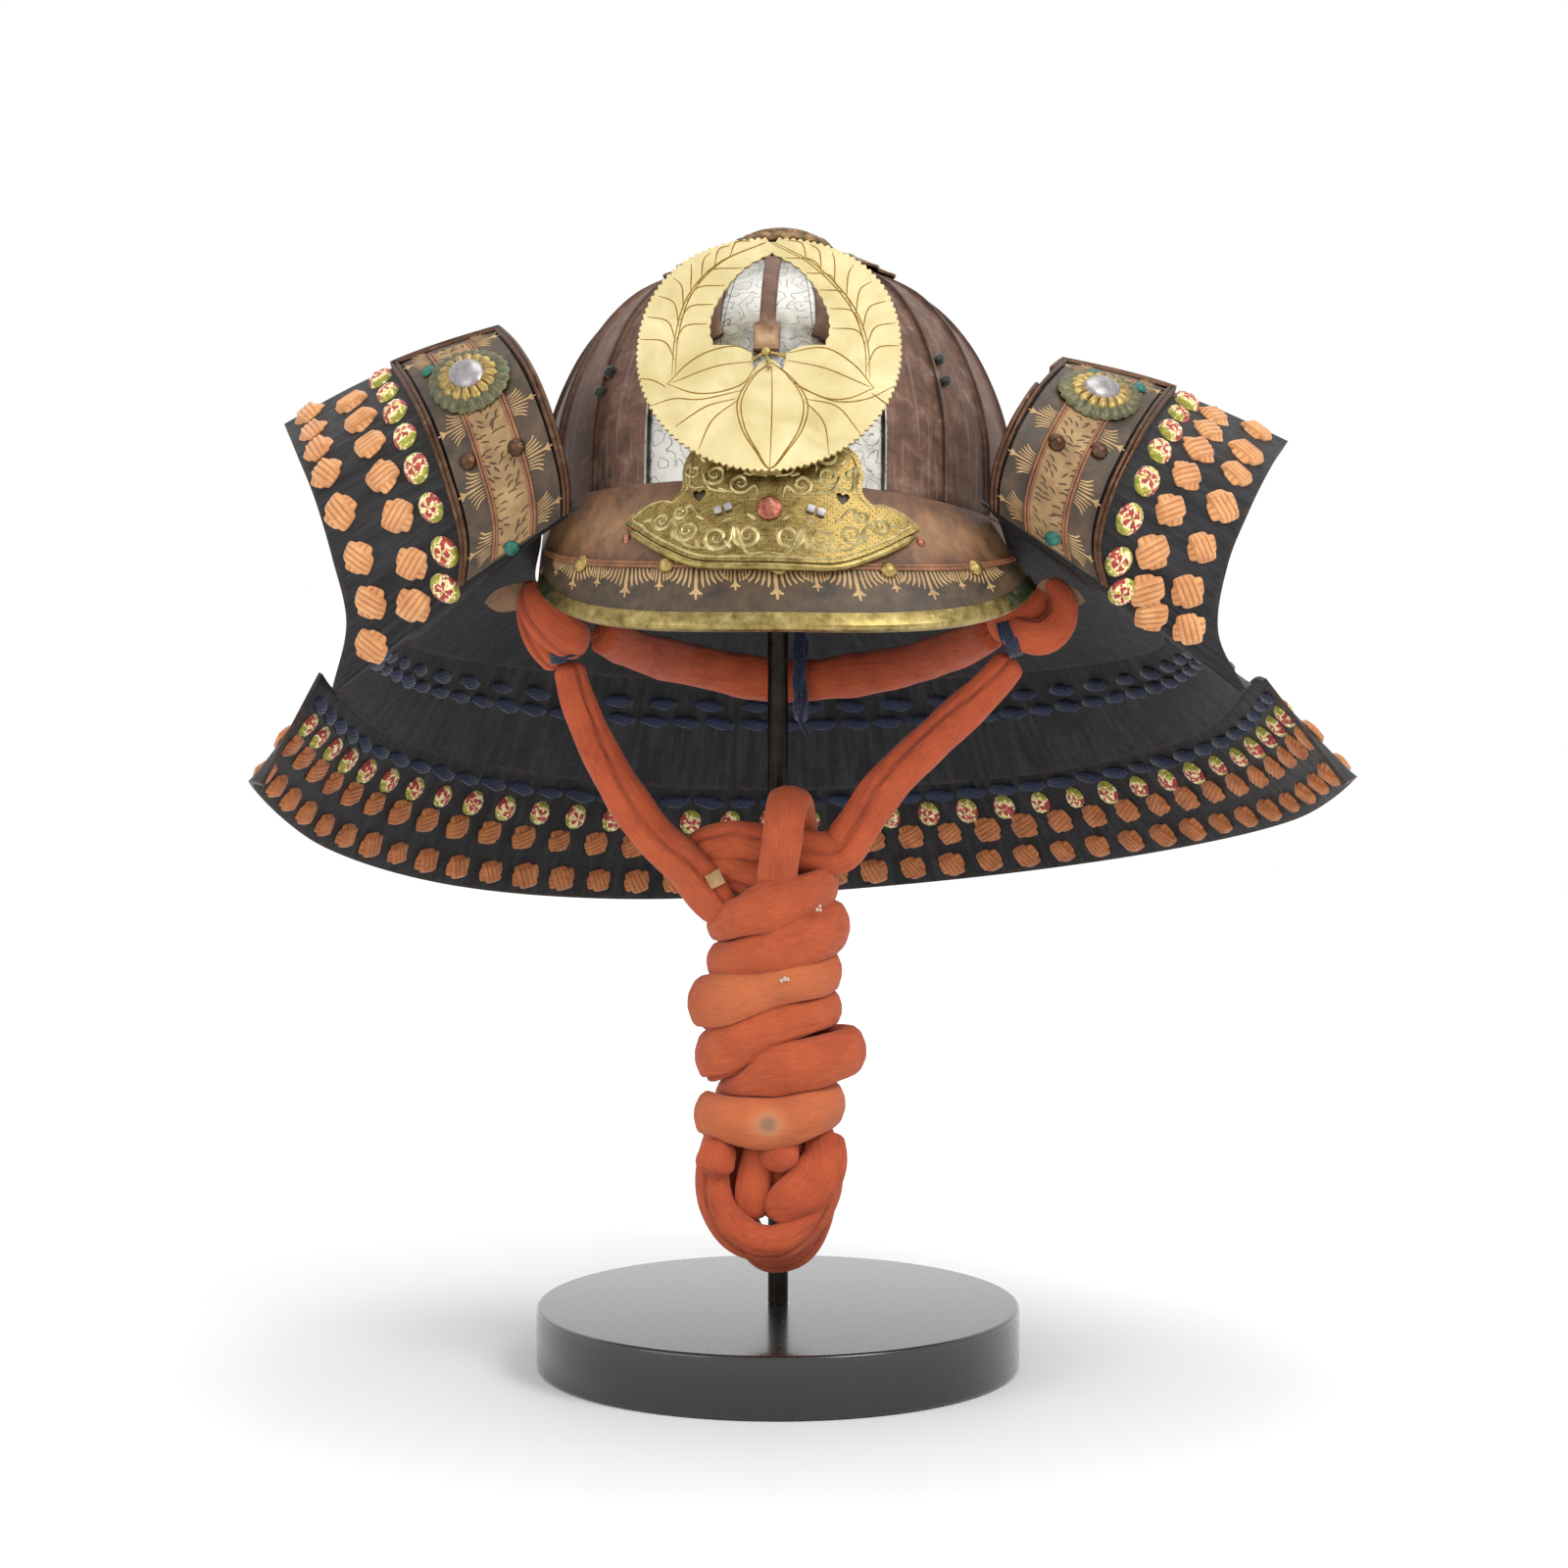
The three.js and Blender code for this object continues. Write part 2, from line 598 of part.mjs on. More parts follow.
// ---------------------------------------------------------------- turn-backs
// f 0 inner edge to 1 outer edge, t 0 fold to 1 top, offset towards the front
function turnback(shape, side) {
  const inner = new THREE.CatmullRomCurve3(shape.inner.map(vec), false, 'centripetal');
  const outer = new THREE.CatmullRomCurve3(shape.outer.map(vec), false, 'centripetal');
  const surface = (f, t) => {
    const p = inner.getPoint(t).lerp(outer.getPoint(t), f);
    p.y -= 8 * Math.sin(Math.PI * f) * (1 - t);
    p.z += 5 * Math.sin(Math.PI * f) * t * t;
    return p;
  };
  return {
    place: thick(surface, side),
    width: (t) => inner.getPoint(t).distanceTo(outer.getPoint(t)),
    length: inner.getLength(),
  };
}
for (const [name, shape, side, rosetteAt] of [['left', TURN_LEFT, -1, 0.72], ['right', TURN_RIGHT, 1, 0.76]]) {
  const turn = turnback(shape, side);
  add(`turnback_${name}`, sheet((t, f, off) => turn.place(f, t, off), 12, 4, 0, -TURN_TH), materials.black, true);

  const panelAt = (f, t) => mix(PANEL_FROM, PANEL_TO + 0.03 * t, f);
  add(`turnback_panel_${name}`,
    sheet((t, f, off) => turn.place(panelAt(f, 0.03 + 0.94 * t), 0.03 + 0.94 * t, off), 12, 2, 0.8, 2.8),
    materials.leather, true);

  // bar down both long edges and across the top
  const edgeStop = (f, t) => [turn.place(f, t, 2.7), turn.place(f, t, 3.7)];
  const aside = (t) => 3.5 / turn.width(t);
  const stops = [0.03, 0.12, 0.21, 0.3, 0.39, 0.48, 0.57, 0.66, 0.75, 0.84, 0.92, 0.97];
  const up = stops.map((t) => edgeStop(panelAt(0, t) - aside(t), t));
  const down = stops.map((t) => edgeStop(panelAt(1, t) + aside(t), t)).reverse();
  const across = [0, 0.25, 0.5, 0.75, 1].map((f) => edgeStop(panelAt(f, 1), 0.99));
  add(`turnback_rim_${name}`, rail([...up, ...across, ...down], 1.9, 6), materials.copper, true);

  // chrysanthemum rosette, bent with the panel
  const petals = (x, h, off) => {
    const f = mix(PANEL_FROM, PANEL_TO, 0.5) + x / turn.width(0.78);
    return turn.place(f, rosetteAt + h / turn.length, off);
  };
  add(`rosette_${name}`, onSurface(petals, [
    [8, 3.8], [20.4, 3.8], [ROSETTE_R, 4.4], [16.5, 5.6], [15.6, 6.4], [9.6, 6.2], [9, 8.2], [6, 10.4], [2, 11.2],
  ], 20), materials.brass, true);
}

// ---------------------------------------------------------------- chin cord
function tab(at, wide, tall) {
  const geometry = new THREE.BoxGeometry(wide, 3, tall);
  geometry.rotateZ(at[0] < 0 ? 0.35 : -0.35);
  geometry.translate(at[0], at[1], at[2]);
  return geometry;
}
add('cord_tab_left', tab([-127, -56, 385], 20, 13), materials.leather);
add('cord_tab_right', tab([139, -58, 387], 16, 13), materials.leather);

add('chin_cord_knot_left', ellipsoid([-101, -58, 371], [13, 11, 13], 14), materials.silk);
add('chin_cord_knot_right', ellipsoid([123, -58, 373], [10, 11, 13], 14), materials.silk);
add('chin_cord_swag', bar([
  [-83, -42, 366], [-70, 0, 356], [-49, 50, 346], [-2, 84, 335], [49, 60, 342], [86, 10, 356], [106, -38, 368],
], CORD_R, 8, 20), materials.silk);
add('chin_cord_leg_left', bar([
  [-98, -57, 354], [-92, -58, 333], [-77, -54, 300], [-58, -50, 271], [-44, -47, 257],
], CORD_R, 8, 9), materials.silk);
add('chin_cord_leg_right', bar([
  [116, -57, 357], [104, -58, 343], [79, -54, 319], [55, -50, 295], [39, -47, 272], [32, -46, 263],
], CORD_R, 8, 9), materials.silk);

// the hank: one solid with a bulge for every turn, turns rising to the right
function hankHalfWidth(z) {
  return along([
    [50, 9], [58, 24], [75, 36], [95, 38], [112, 36.5], [150, 38.5], [200, 37.5], [232, 36], [246, 27], [256, 18],
  ], z);
}
const hankSections = [];
const hankLevels = HANK_TURNS * 3 + 2;
for (let i = 0; i <= hankLevels; i += 1) {
  const z = mix(51, 255, i / hankLevels);
  const turn = z > 112 ? 0.94 + 0.06 * Math.cos(2 * Math.PI * HANK_TURNS * (z - 124) / 138) : 1;
  const ring = [];
  for (let j = 0; j < 14; j += 1) {
    const a = 2 * Math.PI * j / 14;
    const half = hankHalfWidth(z) * turn;
    const x = half * Math.cos(a);
    ring.push(new THREE.Vector3(-3.5 + x, -44 + Math.min(half, 23) * turn * Math.sin(a), z + 0.13 * x));
  }
  hankSections.push(ring);
}
add('chin_cord_hank', loft(hankSections), materials.silk);
add('cord_tie', bar([
  [7, 87, 316], [7, 71.5, 329], [7, 71.5, 348], [7, 83, 368], [7, 98, 368], [7, 100, 348], [7, 100, 330],
], 2, 6, 22, true), materials.navy);

export default group;
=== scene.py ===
"""Samurai helmet (kabuto) on its display stand: the dressed model.

Every piece is a grid or a profile worked out with numpy, then made a mesh, given its finish and set to
ride the one body.

Sizes in this script are millimetres; a piece's points become metres when its mesh is made.
"""

import bmesh
import bpy
import numpy as np
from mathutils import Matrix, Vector
from mathutils.geometry import delaunay_2d_cdt


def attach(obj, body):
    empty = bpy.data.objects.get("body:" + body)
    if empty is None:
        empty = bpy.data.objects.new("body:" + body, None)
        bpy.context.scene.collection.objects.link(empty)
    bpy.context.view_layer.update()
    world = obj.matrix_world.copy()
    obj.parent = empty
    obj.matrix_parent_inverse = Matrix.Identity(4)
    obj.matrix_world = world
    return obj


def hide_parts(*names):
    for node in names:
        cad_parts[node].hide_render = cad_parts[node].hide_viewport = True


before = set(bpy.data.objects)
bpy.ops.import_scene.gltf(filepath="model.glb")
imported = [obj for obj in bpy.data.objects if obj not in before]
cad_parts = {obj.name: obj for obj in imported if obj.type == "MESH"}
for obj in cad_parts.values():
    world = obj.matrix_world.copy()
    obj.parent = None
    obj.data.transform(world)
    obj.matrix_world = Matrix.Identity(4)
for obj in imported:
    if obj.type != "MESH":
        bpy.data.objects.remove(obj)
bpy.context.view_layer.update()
rng = np.random.default_rng(7)

MM = 0.001
PI = np.pi

# ---- stand and bowl, as the frame has them
DISC_R, DISC_H = 120, 31
ROD_R, ROD_TOP = 5, 522
TILT, SEAT_Z = np.radians(14), 410.4
BOWL_A, BOWL_B = 114, 128
BOWL_PROFILE = [
    (114, 0.4), (114, 18), (113.4, 36), (110.4, 52), (104, 71), (94.5, 90),
    (82, 106), (69, 117), (54, 126), (42, 132), (30, 137), (18, 141),
]
PLATE_TH, RIDGE_H, RIDGE_W = 1.6, 2.4, 1.8
FIRST_SEAM, SEAM_STEP, SEAMS = 12, 17.333, 10
GAP = 0.3

# ---- how shapes are made
LATTICE_ROW, LATTICE_CLEAR = 0.87, 0.45  # of a cut plate's step: between rows, and kept free at outlines
RIB_EDGE, RIB_SINK = 0.06, 0.2
MERGE, SHARP = 0.002, np.radians(38)


# ================================================================ shapes
def blend_to(a, b, t):
    """The value the part t of the way from a to b."""
    return a + (b - a) * t


def smooth(x, low, high):
    """0 below low, 1 above high, and an S between them."""
    t = np.clip((np.asarray(x, float) - low) / (high - low), 0, 1)
    return t * t * (3 - 2 * t)


def curve(points, closed=False):
    """A centripetal Catmull-Rom curve: between two points a cubic whose end slopes weigh the steps on
    either side by the square root of their lengths.  Gives place(t) for t from 0 to 1."""
    p = np.asarray(points, float)
    spans = len(p) if closed else len(p) - 1
    if closed:
        p = np.vstack([p[-1], p, p[0], p[1]])
    else:
        p = np.vstack([2 * p[0] - p[1], p, 2 * p[-1] - p[-2]])

    def place(t):
        t = np.asarray(t, float) * spans
        k = np.clip(np.floor(t).astype(int), 0, spans - 1)
        w = (t - k)[..., None]
        a, b, c, d = (p[k + i] for i in range(4))
        before, step, after = (
            np.sqrt(np.maximum(np.linalg.norm(y - x, axis=-1, keepdims=True), 1e-9))
            for x, y in ((a, b), (b, c), (c, d)))
        start = ((b - a) / before - (c - a) / (before + step) + (c - b) / step) * step
        end = ((c - b) / step - (d - b) / (step + after) + (d - c) / after) * step
        return b + w * (start + w * (3 * (c - b) - 2 * start - end + w * (2 * (b - c) + start + end)))

    return place


def distances(path):
    """How far along a path each of its points lies: the steps between them, added up."""
    return np.concatenate([[0], np.cumsum(np.linalg.norm(np.diff(path, axis=0), axis=1))])


def evenly(points, count, fine):
    """Stations of a curve through points, at equal distances along it.  Numbers of a point past its
    third ride along and don't count as distance."""
    p = curve(points)(np.linspace(0, 1, fine))
    far = distances(p[:, :3])
    at = np.linspace(0, far[-1], count)
    return np.stack([np.interp(at, far, column) for column in p.T], -1)


def bend(points, count):
    """Even stations of a 2-D curve through a few points."""
    return evenly(points, count, 400)


def unit(v):
    """Vectors of length one the same way."""
    return v / np.maximum(np.linalg.norm(v, axis=-1, keepdims=True), 1e-12)


def shape(points, corners, sizes, uv, mat, tone):
    """A mesh as arrays: points in mm, the points at the corners of its faces, how many corners each face
    has, a UV for each corner, a material for each face and a tone for each point."""
    return {
        "points": np.asarray(points, float), "corners": corners, "sizes": sizes, "uv": uv,
        "mat": np.broadcast_to(mat, len(sizes)).astype(int),
        "tone": np.broadcast_to(tone, len(points)).astype(float),
    }


def grid(p, close_u=False, close_v=False, mat=0, tone=0.0, size=(1, 1)):
    """Quads over an array of points (copies, rows, columns, xyz); UV runs 0 to size along each side."""
    p = np.asarray(p, float)
    p = p.reshape(-1, *p.shape[-3:])
    copies, nu, nv, _ = p.shape
    i, j = np.arange(nu if close_u else nu - 1), np.arange(nv if close_v else nv - 1)
    i, j = (x.ravel() for x in np.meshgrid(i, j, indexing="ij"))
    steps = np.array([(0, 0), (1, 0), (1, 1), (0, 1)])
    rows, cols = i[:, None] + steps[:, 0], j[:, None] + steps[:, 1]
    one = (rows % nu) * nv + cols % nv
    corners = (np.arange(copies)[:, None, None] * nu * nv + one).reshape(-1)
    across = (nu if close_u else nu - 1, nv if close_v else nv - 1)
    uv = np.stack([rows * size[0] / across[0], cols * size[1] / across[1]], -1).reshape(-1, 2)
    tone = np.broadcast_to(tone, p.shape[:3]).reshape(-1)
    mat = np.broadcast_to(mat, (copies, len(one))).reshape(-1)
    uv = np.tile(uv, (copies, 1))
    return shape(p.reshape(-1, 3), corners, np.full(copies * len(one), 4), uv, mat, tone)


def join(*shapes):
    """Several shapes as one."""
    shapes = [s for s in shapes if len(s["sizes"])]
    starts = np.cumsum([0] + [len(s["points"]) for s in shapes[:-1]])
    out = {key: np.concatenate([s[key] for s in shapes]) for key in ("points", "sizes", "uv", "mat", "tone")}
    out["corners"] = np.concatenate([s["corners"] + k for s, k in zip(shapes, starts)])
    return out


def slab(front, back, size, mat=0, edge=None, tone=0.0):
    """A closed wall between two facing grids; its back and its four edges may have another material."""
    edge = mat if edge is None else edge
    tone = np.broadcast_to(tone, front.shape[:-1])
    rims = []
    for take in (np.s_[..., 0, :, :], np.s_[..., -1, :, :], np.s_[..., :, 0, :], np.s_[..., :, -1, :]):
        both = np.stack([front[take], back[take]], -3)
        level = tone[take[:-1]]
        rims.append(grid(both, mat=edge, tone=np.stack([level, level], -2)))
    return join(grid(front, mat=mat, tone=tone, size=size), grid(back, mat=edge, tone=tone, size=size), *rims)


def framed(path, up=None):
    """Side and up directions at each point of a path.  Where up isn't given, each one is the last made
    square to the path, so that they turn as little as they can."""
    along = unit(np.gradient(path, axis=0))
    if up is None:
        last = np.array([0.0, 0.0, 1.0]) if abs(along[0, 2]) < 0.9 else np.array([1.0, 0.0, 0.0])
        ups = []
        for t in along:
            last = unit(last - t * last.dot(t))
            ups.append(last)
        up = np.array(ups)
    side = unit(np.cross(along, up))
    return side, unit(np.cross(side, along))


def tube(path, radius, sides, up=None, closed=False, flat=1.0, tone=0.0, size=None):
    """Rings of the given radius round a path, the ends closed; flat squeezes it along its up."""
    side, top = framed(path, up)
    a = np.linspace(0, 2 * PI, sides, endpoint=False) - PI / 2
    radius = np.asarray(radius, float)
    if radius.ndim == 1:
        radius = radius[:, None]
    radius = np.broadcast_to(radius, (len(path), sides))
    ring = (path[:, None] + side[:, None] * (radius * np.cos(a))[..., None]
            + top[:, None] * (flat * radius * np.sin(a))[..., None])
    if size is None:
        size = (float(distances(path)[-1]), 2 * PI * float(radius.mean()))
    tone = np.broadcast_to(tone, ring.shape[:-1])
    if not closed:
        ends = [np.repeat(ring[k:k + 1].mean(1, keepdims=True), sides, 1) for k in (0, len(ring) - 1)]
        ring = np.concatenate([ends[0], ring, ends[1]])
        tone = np.concatenate([tone[:1], tone, tone[-1:]])
    return grid(ring, close_u=closed, close_v=True, tone=tone, size=size)


def turned(profile, segments, place=None, wave=None, mat=0):
    """A profile of (radius, height) carried round an axis; place(x, y, z) sets it on a surface, and
    wave(angle, radius, height) adds to the radius and height."""
    r, z = (np.asarray(x, float)[:, None] for x in zip(*profile))
    a = np.linspace(0, 2 * PI, segments, endpoint=False)[None]
    r, z = r + 0 * a, z + 0 * a
    if wave is not None:
        dr, dz = wave(a, r, z)
        r, z = r + dr, z + dz
    x, y = r * np.cos(a), r * np.sin(a)
    p = np.stack([x, y, z], -1) if place is None else place(x, y, z)
    return grid(p, close_v=True, mat=mat, size=(float(np.ptp(r) + np.ptp(z)), 2 * PI * float(r.max())))


def inside(points, loop):
    """Which 2-D points lie inside a closed outline, by counting crossings."""
    x, y = points[:, 0:1], points[:, 1:2]
    a, b = loop, np.roll(loop, -1, 0)
    rise = b[:, 1] - a[:, 1]
    rise = np.where(np.abs(rise) < 1e-12, 1e-12, rise)
    crosses = ((a[:, 1] > y) != (b[:, 1] > y)) & (x < (b[:, 0] - a[:, 0]) * (y - a[:, 1]) / rise + a[:, 0])
    return crosses.sum(1) % 2 == 1


def within(points, loops):
    """Which 2-D points lie inside the first closed outline and outside the others."""
    keep = inside(points, loops[0])
    for hole in loops[1:]:
        keep &= ~inside(points, hole)
    return keep


def cut_plate(outline, holes, step, place, thick):
    """A flat plate with holes: its outline, holes and a lattice of inner points are joined by Delaunay
    triangles, and place(x, y, off) sets front and back, with walls round every outline."""
    loops = [np.asarray(loop, float) for loop in (outline, *holes)]
    border = np.concatenate(loops)
    low, high = loops[0].min(0), loops[0].max(0)
    x, y = np.meshgrid(np.arange(low[0], high[0], step), np.arange(low[1], high[1], step * LATTICE_ROW))
    x = x + (np.arange(len(x))[:, None] % 2) * step / 2
    inner = np.stack([x.ravel(), y.ravel()], -1)
    inner = inner[within(inner, loops)]
    near = np.linalg.norm(inner[:, None] - border[None], axis=-1).min(1)
    inner = inner[near > step * LATTICE_CLEAR]
    edges, start = [], 0
    for loop in loops:
        n = len(loop)
        edges += [(start + i, start + (i + 1) % n) for i in range(n)]
        start += n
    points = [Vector(p) for p in np.concatenate([border, inner])]
    flat, _, faces, *_ = delaunay_2d_cdt(points, edges, [], 0, 1e-5)
    flat = np.array([tuple(p) for p in flat])
    faces = np.array([f for f in faces if len(f) == 3])
    faces = faces[within(flat[faces].mean(1), loops)]
    parts = []
    for off, turn in ((0.0, 1), (-thick, -1)):
        p = place(flat[:, 0], flat[:, 1], off + 0 * flat[:, 0])
        f = faces[:, ::turn].reshape(-1)
        parts.append(shape(p, f, np.full(len(faces), 3), flat[f], 0, 0.0))
    for loop in loops:
        p = np.stack([place(loop[:, 0], loop[:, 1], off + 0 * loop[:, 0]) for off in (0.0, -thick)])
        parts.append(grid(p, close_v=True))
    return join(*parts)


def ribbons(place, lines, width, rise):
    """Raised ribs along 2-D lines (copies, stations, xy) on a surface: a low diamond in section, its
    width given at each station, its foot sunk in the surface and its ends drawn to a point."""
    lines = lines.reshape(-1, *lines.shape[-2:])
    width = np.broadcast_to(width, lines.shape[:2])[..., None]
    along = unit(np.gradient(lines, axis=1))
    side = np.stack([-along[..., 1], along[..., 0]], -1)
    ring = np.stack([lines - side * width / 2, lines, lines + side * width / 2, lines], 2)
    ring = np.concatenate([np.repeat(ring[:, :1, 1:2], 4, 2), ring, np.repeat(ring[:, -1:, 1:2], 4, 2)], 1)
    off = np.broadcast_to([RIB_EDGE, rise, RIB_EDGE, -RIB_SINK], ring.shape[:-1]).copy()
    off[:, [0, -1]] = 0.0
    return grid(place(ring[..., 0], ring[..., 1], off), close_v=True)


def stamp(template, at, right, up, out):
    """Copies of a template's points (n, 3), each set by its own place and directions (copies, 3)."""
    t = template["points"]
    p = (at[:, None] + t[None, :, 0:1] * right[:, None] + t[None, :, 1:2] * up[:, None]
         + t[None, :, 2:3] * out[:, None]).reshape(-1, 3)
    copies, n = len(at), len(t)
    corners = (np.arange(copies)[:, None] * n + template["corners"][None]).reshape(-1)
    many = {key: np.concatenate([template[key]] * copies) for key in ("sizes", "uv", "mat", "tone")}
    return {"points": p, "corners": corners, **many}


def on_surface(place, x, y, off, turn=0.0):
    """Places on a surface and the directions right, up and out there, from steps of half a mm either
    way, turned by an angle."""
    x, y = np.asarray(x, float), np.asarray(y, float)
    off = off + 0 * x
    step = 0.5
    at = place(x, y, off)
    right = unit(place(x + step, y, off) - place(x - step, y, off))
    up = place(x, y + step, off) - place(x, y - step, off)
    up = unit(up - right * (up * right).sum(-1, keepdims=True))
    out = np.cross(right, up)
    lifted = place(x, y, off + 1) - at
    out = out * np.sign((out * lifted).sum(-1, keepdims=True))
    c, s = np.cos(turn + 0 * x)[:, None], np.sin(turn + 0 * x)[:, None]
    return at, right * c + up * s, up * c - right * s, out


def piece(name, form, materials, nodes=()):
    """A mesh object of a shape: doubles merged, faces turned outwards, riding the body."""
    mesh = bpy.data.meshes.new(name)
    sizes, corners = form["sizes"], form["corners"]
    mesh.vertices.add(len(form["points"]))
    mesh.vertices.foreach_set("co", (form["points"] * MM).ravel())
    mesh.loops.add(len(corners))
    mesh.loops.foreach_set("vertex_index", corners.astype(np.int32))
    mesh.polygons.add(len(sizes))
    starts = np.concatenate([[0], np.cumsum(sizes)[:-1]])
    mesh.polygons.foreach_set("loop_start", starts.astype(np.int32))
    mesh.polygons.foreach_set("material_index", form["mat"].astype(np.int32))
    mesh.uv_layers.new(name="UVMap").data.foreach_set("uv", form["uv"].ravel())
    mesh.attributes.new("tone", "FLOAT", "POINT").data.foreach_set("value", form["tone"].astype(np.float32))
    mesh.update(calc_edges=True)
    mesh.validate()
    shell = bmesh.new()
    shell.from_mesh(mesh)
    bmesh.ops.remove_doubles(shell, verts=shell.verts, dist=MERGE * MM)
    bmesh.ops.recalc_face_normals(shell, faces=shell.faces)
    for face in shell.faces:
        face.smooth = True
    shell.to_mesh(mesh)
    shell.free()
    mesh.set_sharp_from_angle(angle=SHARP)
    obj = bpy.data.objects.new(name, mesh)
    bpy.context.scene.collection.objects.link(obj)
    for m in materials:
        mesh.materials.append(m)
    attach(obj, "root")
    if nodes:
        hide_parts(*nodes)
    return obj


# ================================================================ materials
def rgb(code):
    """An sRGB hex colour as linear red, green, blue and alpha."""
    c = np.array([int(code[i:i + 2], 16) for i in (1, 3, 5)]) / 255
    c = np.where(c <= 0.04045, c / 12.92, ((c + 0.055) / 1.055) ** 2.4)
    return (*(float(x) for x in c), 1.0)


def fill(tree, n, inputs):
    """Fills a node's inputs: with a link from a socket or from a node's first live output, with a colour
    from its code, or with a plain value."""
    for key, value in inputs.items():
        if isinstance(value, bpy.types.Node):
            value = next(socket for socket in value.outputs if socket.enabled)
        if isinstance(value, bpy.types.NodeSocket):
            tree.links.new(value, n.inputs[key])
        else:
            n.inputs[key].default_value = rgb(value) if isinstance(value, str) else value


def node(tree, kind, inputs=(), stops=(), **settings):
    """Adds a node, makes its settings, fills its inputs with values or links, and its ramp with stops."""
    n = tree.nodes.new("ShaderNode" + kind)
    for key, value in settings.items():
        setattr(n, key, value)
    fill(tree, n, dict(inputs))
    for k, (at, colour) in enumerate(stops):
        stop = n.color_ramp.elements[k] if k < 2 else n.color_ramp.elements.new(at)
        stop.position, stop.color = at, rgb(colour)
    return n


def finish_of(name, values):
    """A new material: its tree, its shader with the even values set, its coordinates and its tone."""
    m = bpy.data.materials.new(name)
    m.use_nodes = True
    tree = m.node_tree
    shader = tree.nodes["Principled BSDF"]
    fill(tree, shader, values)
    where = node(tree, "TexCoord").outputs
    tone = node(tree, "Attribute", attribute_name="tone").outputs["Fac"]
    return m, tree, shader, where, tone


def metal(name, stops, scale, rough, patina=None, grit=0.12, grit_size=0.6, line="#1a1210", engraving=None,
          metallic=1.0, blotch=0.5, streaks=None):
    """A worn metal: colours by a soft noise of the given scale in mm, pits of grit_size mm, a patina
    colour where a second noise and the tone attribute rise, and painted shade in the line colour where
    tone falls below 0, on ridges, in flutes and in grooves."""
    m, tree, shader, where, tone = finish_of(name, {"Metallic": metallic})
    cloud = node(tree, "TexNoise", {"Vector": where["Object"], "Scale": 1 / (scale * MM), "Detail": 6.0,
                                    "Roughness": 0.62, "Distortion": 0.4})
    colour = node(tree, "ValToRGB", {0: cloud}, stops=stops)
    wide = node(tree, "TexNoise", {"Vector": where["Object"], "Scale": 1 / (scale * 3.1 * MM), "Detail": 3.0})
    if patina:
        amount = node(tree, "Math", {0: wide, 1: tone}, operation="ADD")
        amount = node(tree, "MapRange", {0: amount, 1: 1 - blotch, 2: 1.15 - blotch})
        colour = node(tree, "Mix", {0: amount, 6: colour, 7: patina}, data_type="RGBA")
    if streaks:
        run = node(tree, "Mapping", {"Vector": where["UV"], "Scale": (1 / 45, 1 / 3.5, 1)})
        run = node(tree, "TexNoise", {"Vector": run, "Scale": 1.0, "Detail": 7.0, "Roughness": 0.7})
        worn = node(tree, "MapRange", {0: run, 1: 0.52, 2: 0.72, 3: 0.0, 4: 0.8})
        colour = node(tree, "Mix", {0: worn, 6: colour, 7: streaks}, data_type="RGBA")
    # painted shade: the line colour where tone falls below 0
    dark = node(tree, "MapRange", {0: tone, 1: -0.05, 2: -1.0, 3: 0.0, 4: 0.92})
    colour = node(tree, "Mix", {0: dark, 6: colour, 7: line}, data_type="RGBA")
    fine = node(tree, "TexNoise", {"Vector": where["Object"], "Scale": 1 / (grit_size * MM), "Detail": 3.0})
    height = fine
    if engraving:
        colour, height = engraving(tree, where, colour, height)
    spread = node(tree, "MapRange", {0: cloud, 1: 0.3, 2: 0.7, 3: rough - 0.08, 4: rough + 0.12})
    bump = node(tree, "Bump", {"Height": height, "Strength": grit, "Distance": 0.4 * MM})
    fill(tree, shader, {"Base Color": colour, "Roughness": spread, "Normal": bump})
    return m


def cloud_engraving(tree, where, colour, height):
    """Curling cloud lines cut in silver: uneven rings round scattered centres, darkened and sunk where
    the sine of the distance to the nearest centre is near its top."""
    apart, line_gap, sway = 11, 3.2, 7 * MM
    drift = node(tree, "TexNoise", {"Vector": where["Object"], "Scale": 1 / (8 * MM), "Detail": 2.0})
    bent = node(tree, "VectorMath", {0: drift.outputs["Color"], 1: (sway, sway, sway), 2: where["Object"]},
                operation="MULTIPLY_ADD")
    cells = node(tree, "TexVoronoi", {"Vector": bent, "Scale": 1 / (apart * MM), "Randomness": 1.0})
    turns = node(tree, "Math", {0: cells.outputs["Distance"], 1: 2 * PI * apart / line_gap},
                 operation="MULTIPLY")
    wave = node(tree, "Math", {0: turns}, operation="SINE")
    cut = node(tree, "MapRange", {0: wave, 1: 0.86, 2: 1.0})
    colour = node(tree, "Mix", {0: cut, 6: colour, 7: "#6c6a66"}, data_type="RGBA")
    height = node(tree, "Math", {0: height, 1: cut}, operation="SUBTRACT")
    return colour, height


def stipple(tree, where, colour, height):
    """Ground matted with a ring punch: round pits about 1.3 mm apart."""
    pits = node(tree, "TexVoronoi", {"Vector": where["Object"], "Scale": 1 / (1.3 * MM), "Randomness": 0.35})
    cut = node(tree, "MapRange", {0: pits.outputs["Distance"], 1: 0.18, 2: 0.42})
    dim = node(tree, "MapRange", {0: cut, 1: 0.0, 2: 1.0, 3: 0.85, 4: 0.1})
    colour = node(tree, "Mix", {0: dim, 6: colour, 7: "#40331b"}, data_type="RGBA")
    height = node(tree, "Math", {0: height, 1: cut}, operation="ADD")
    return colour, height


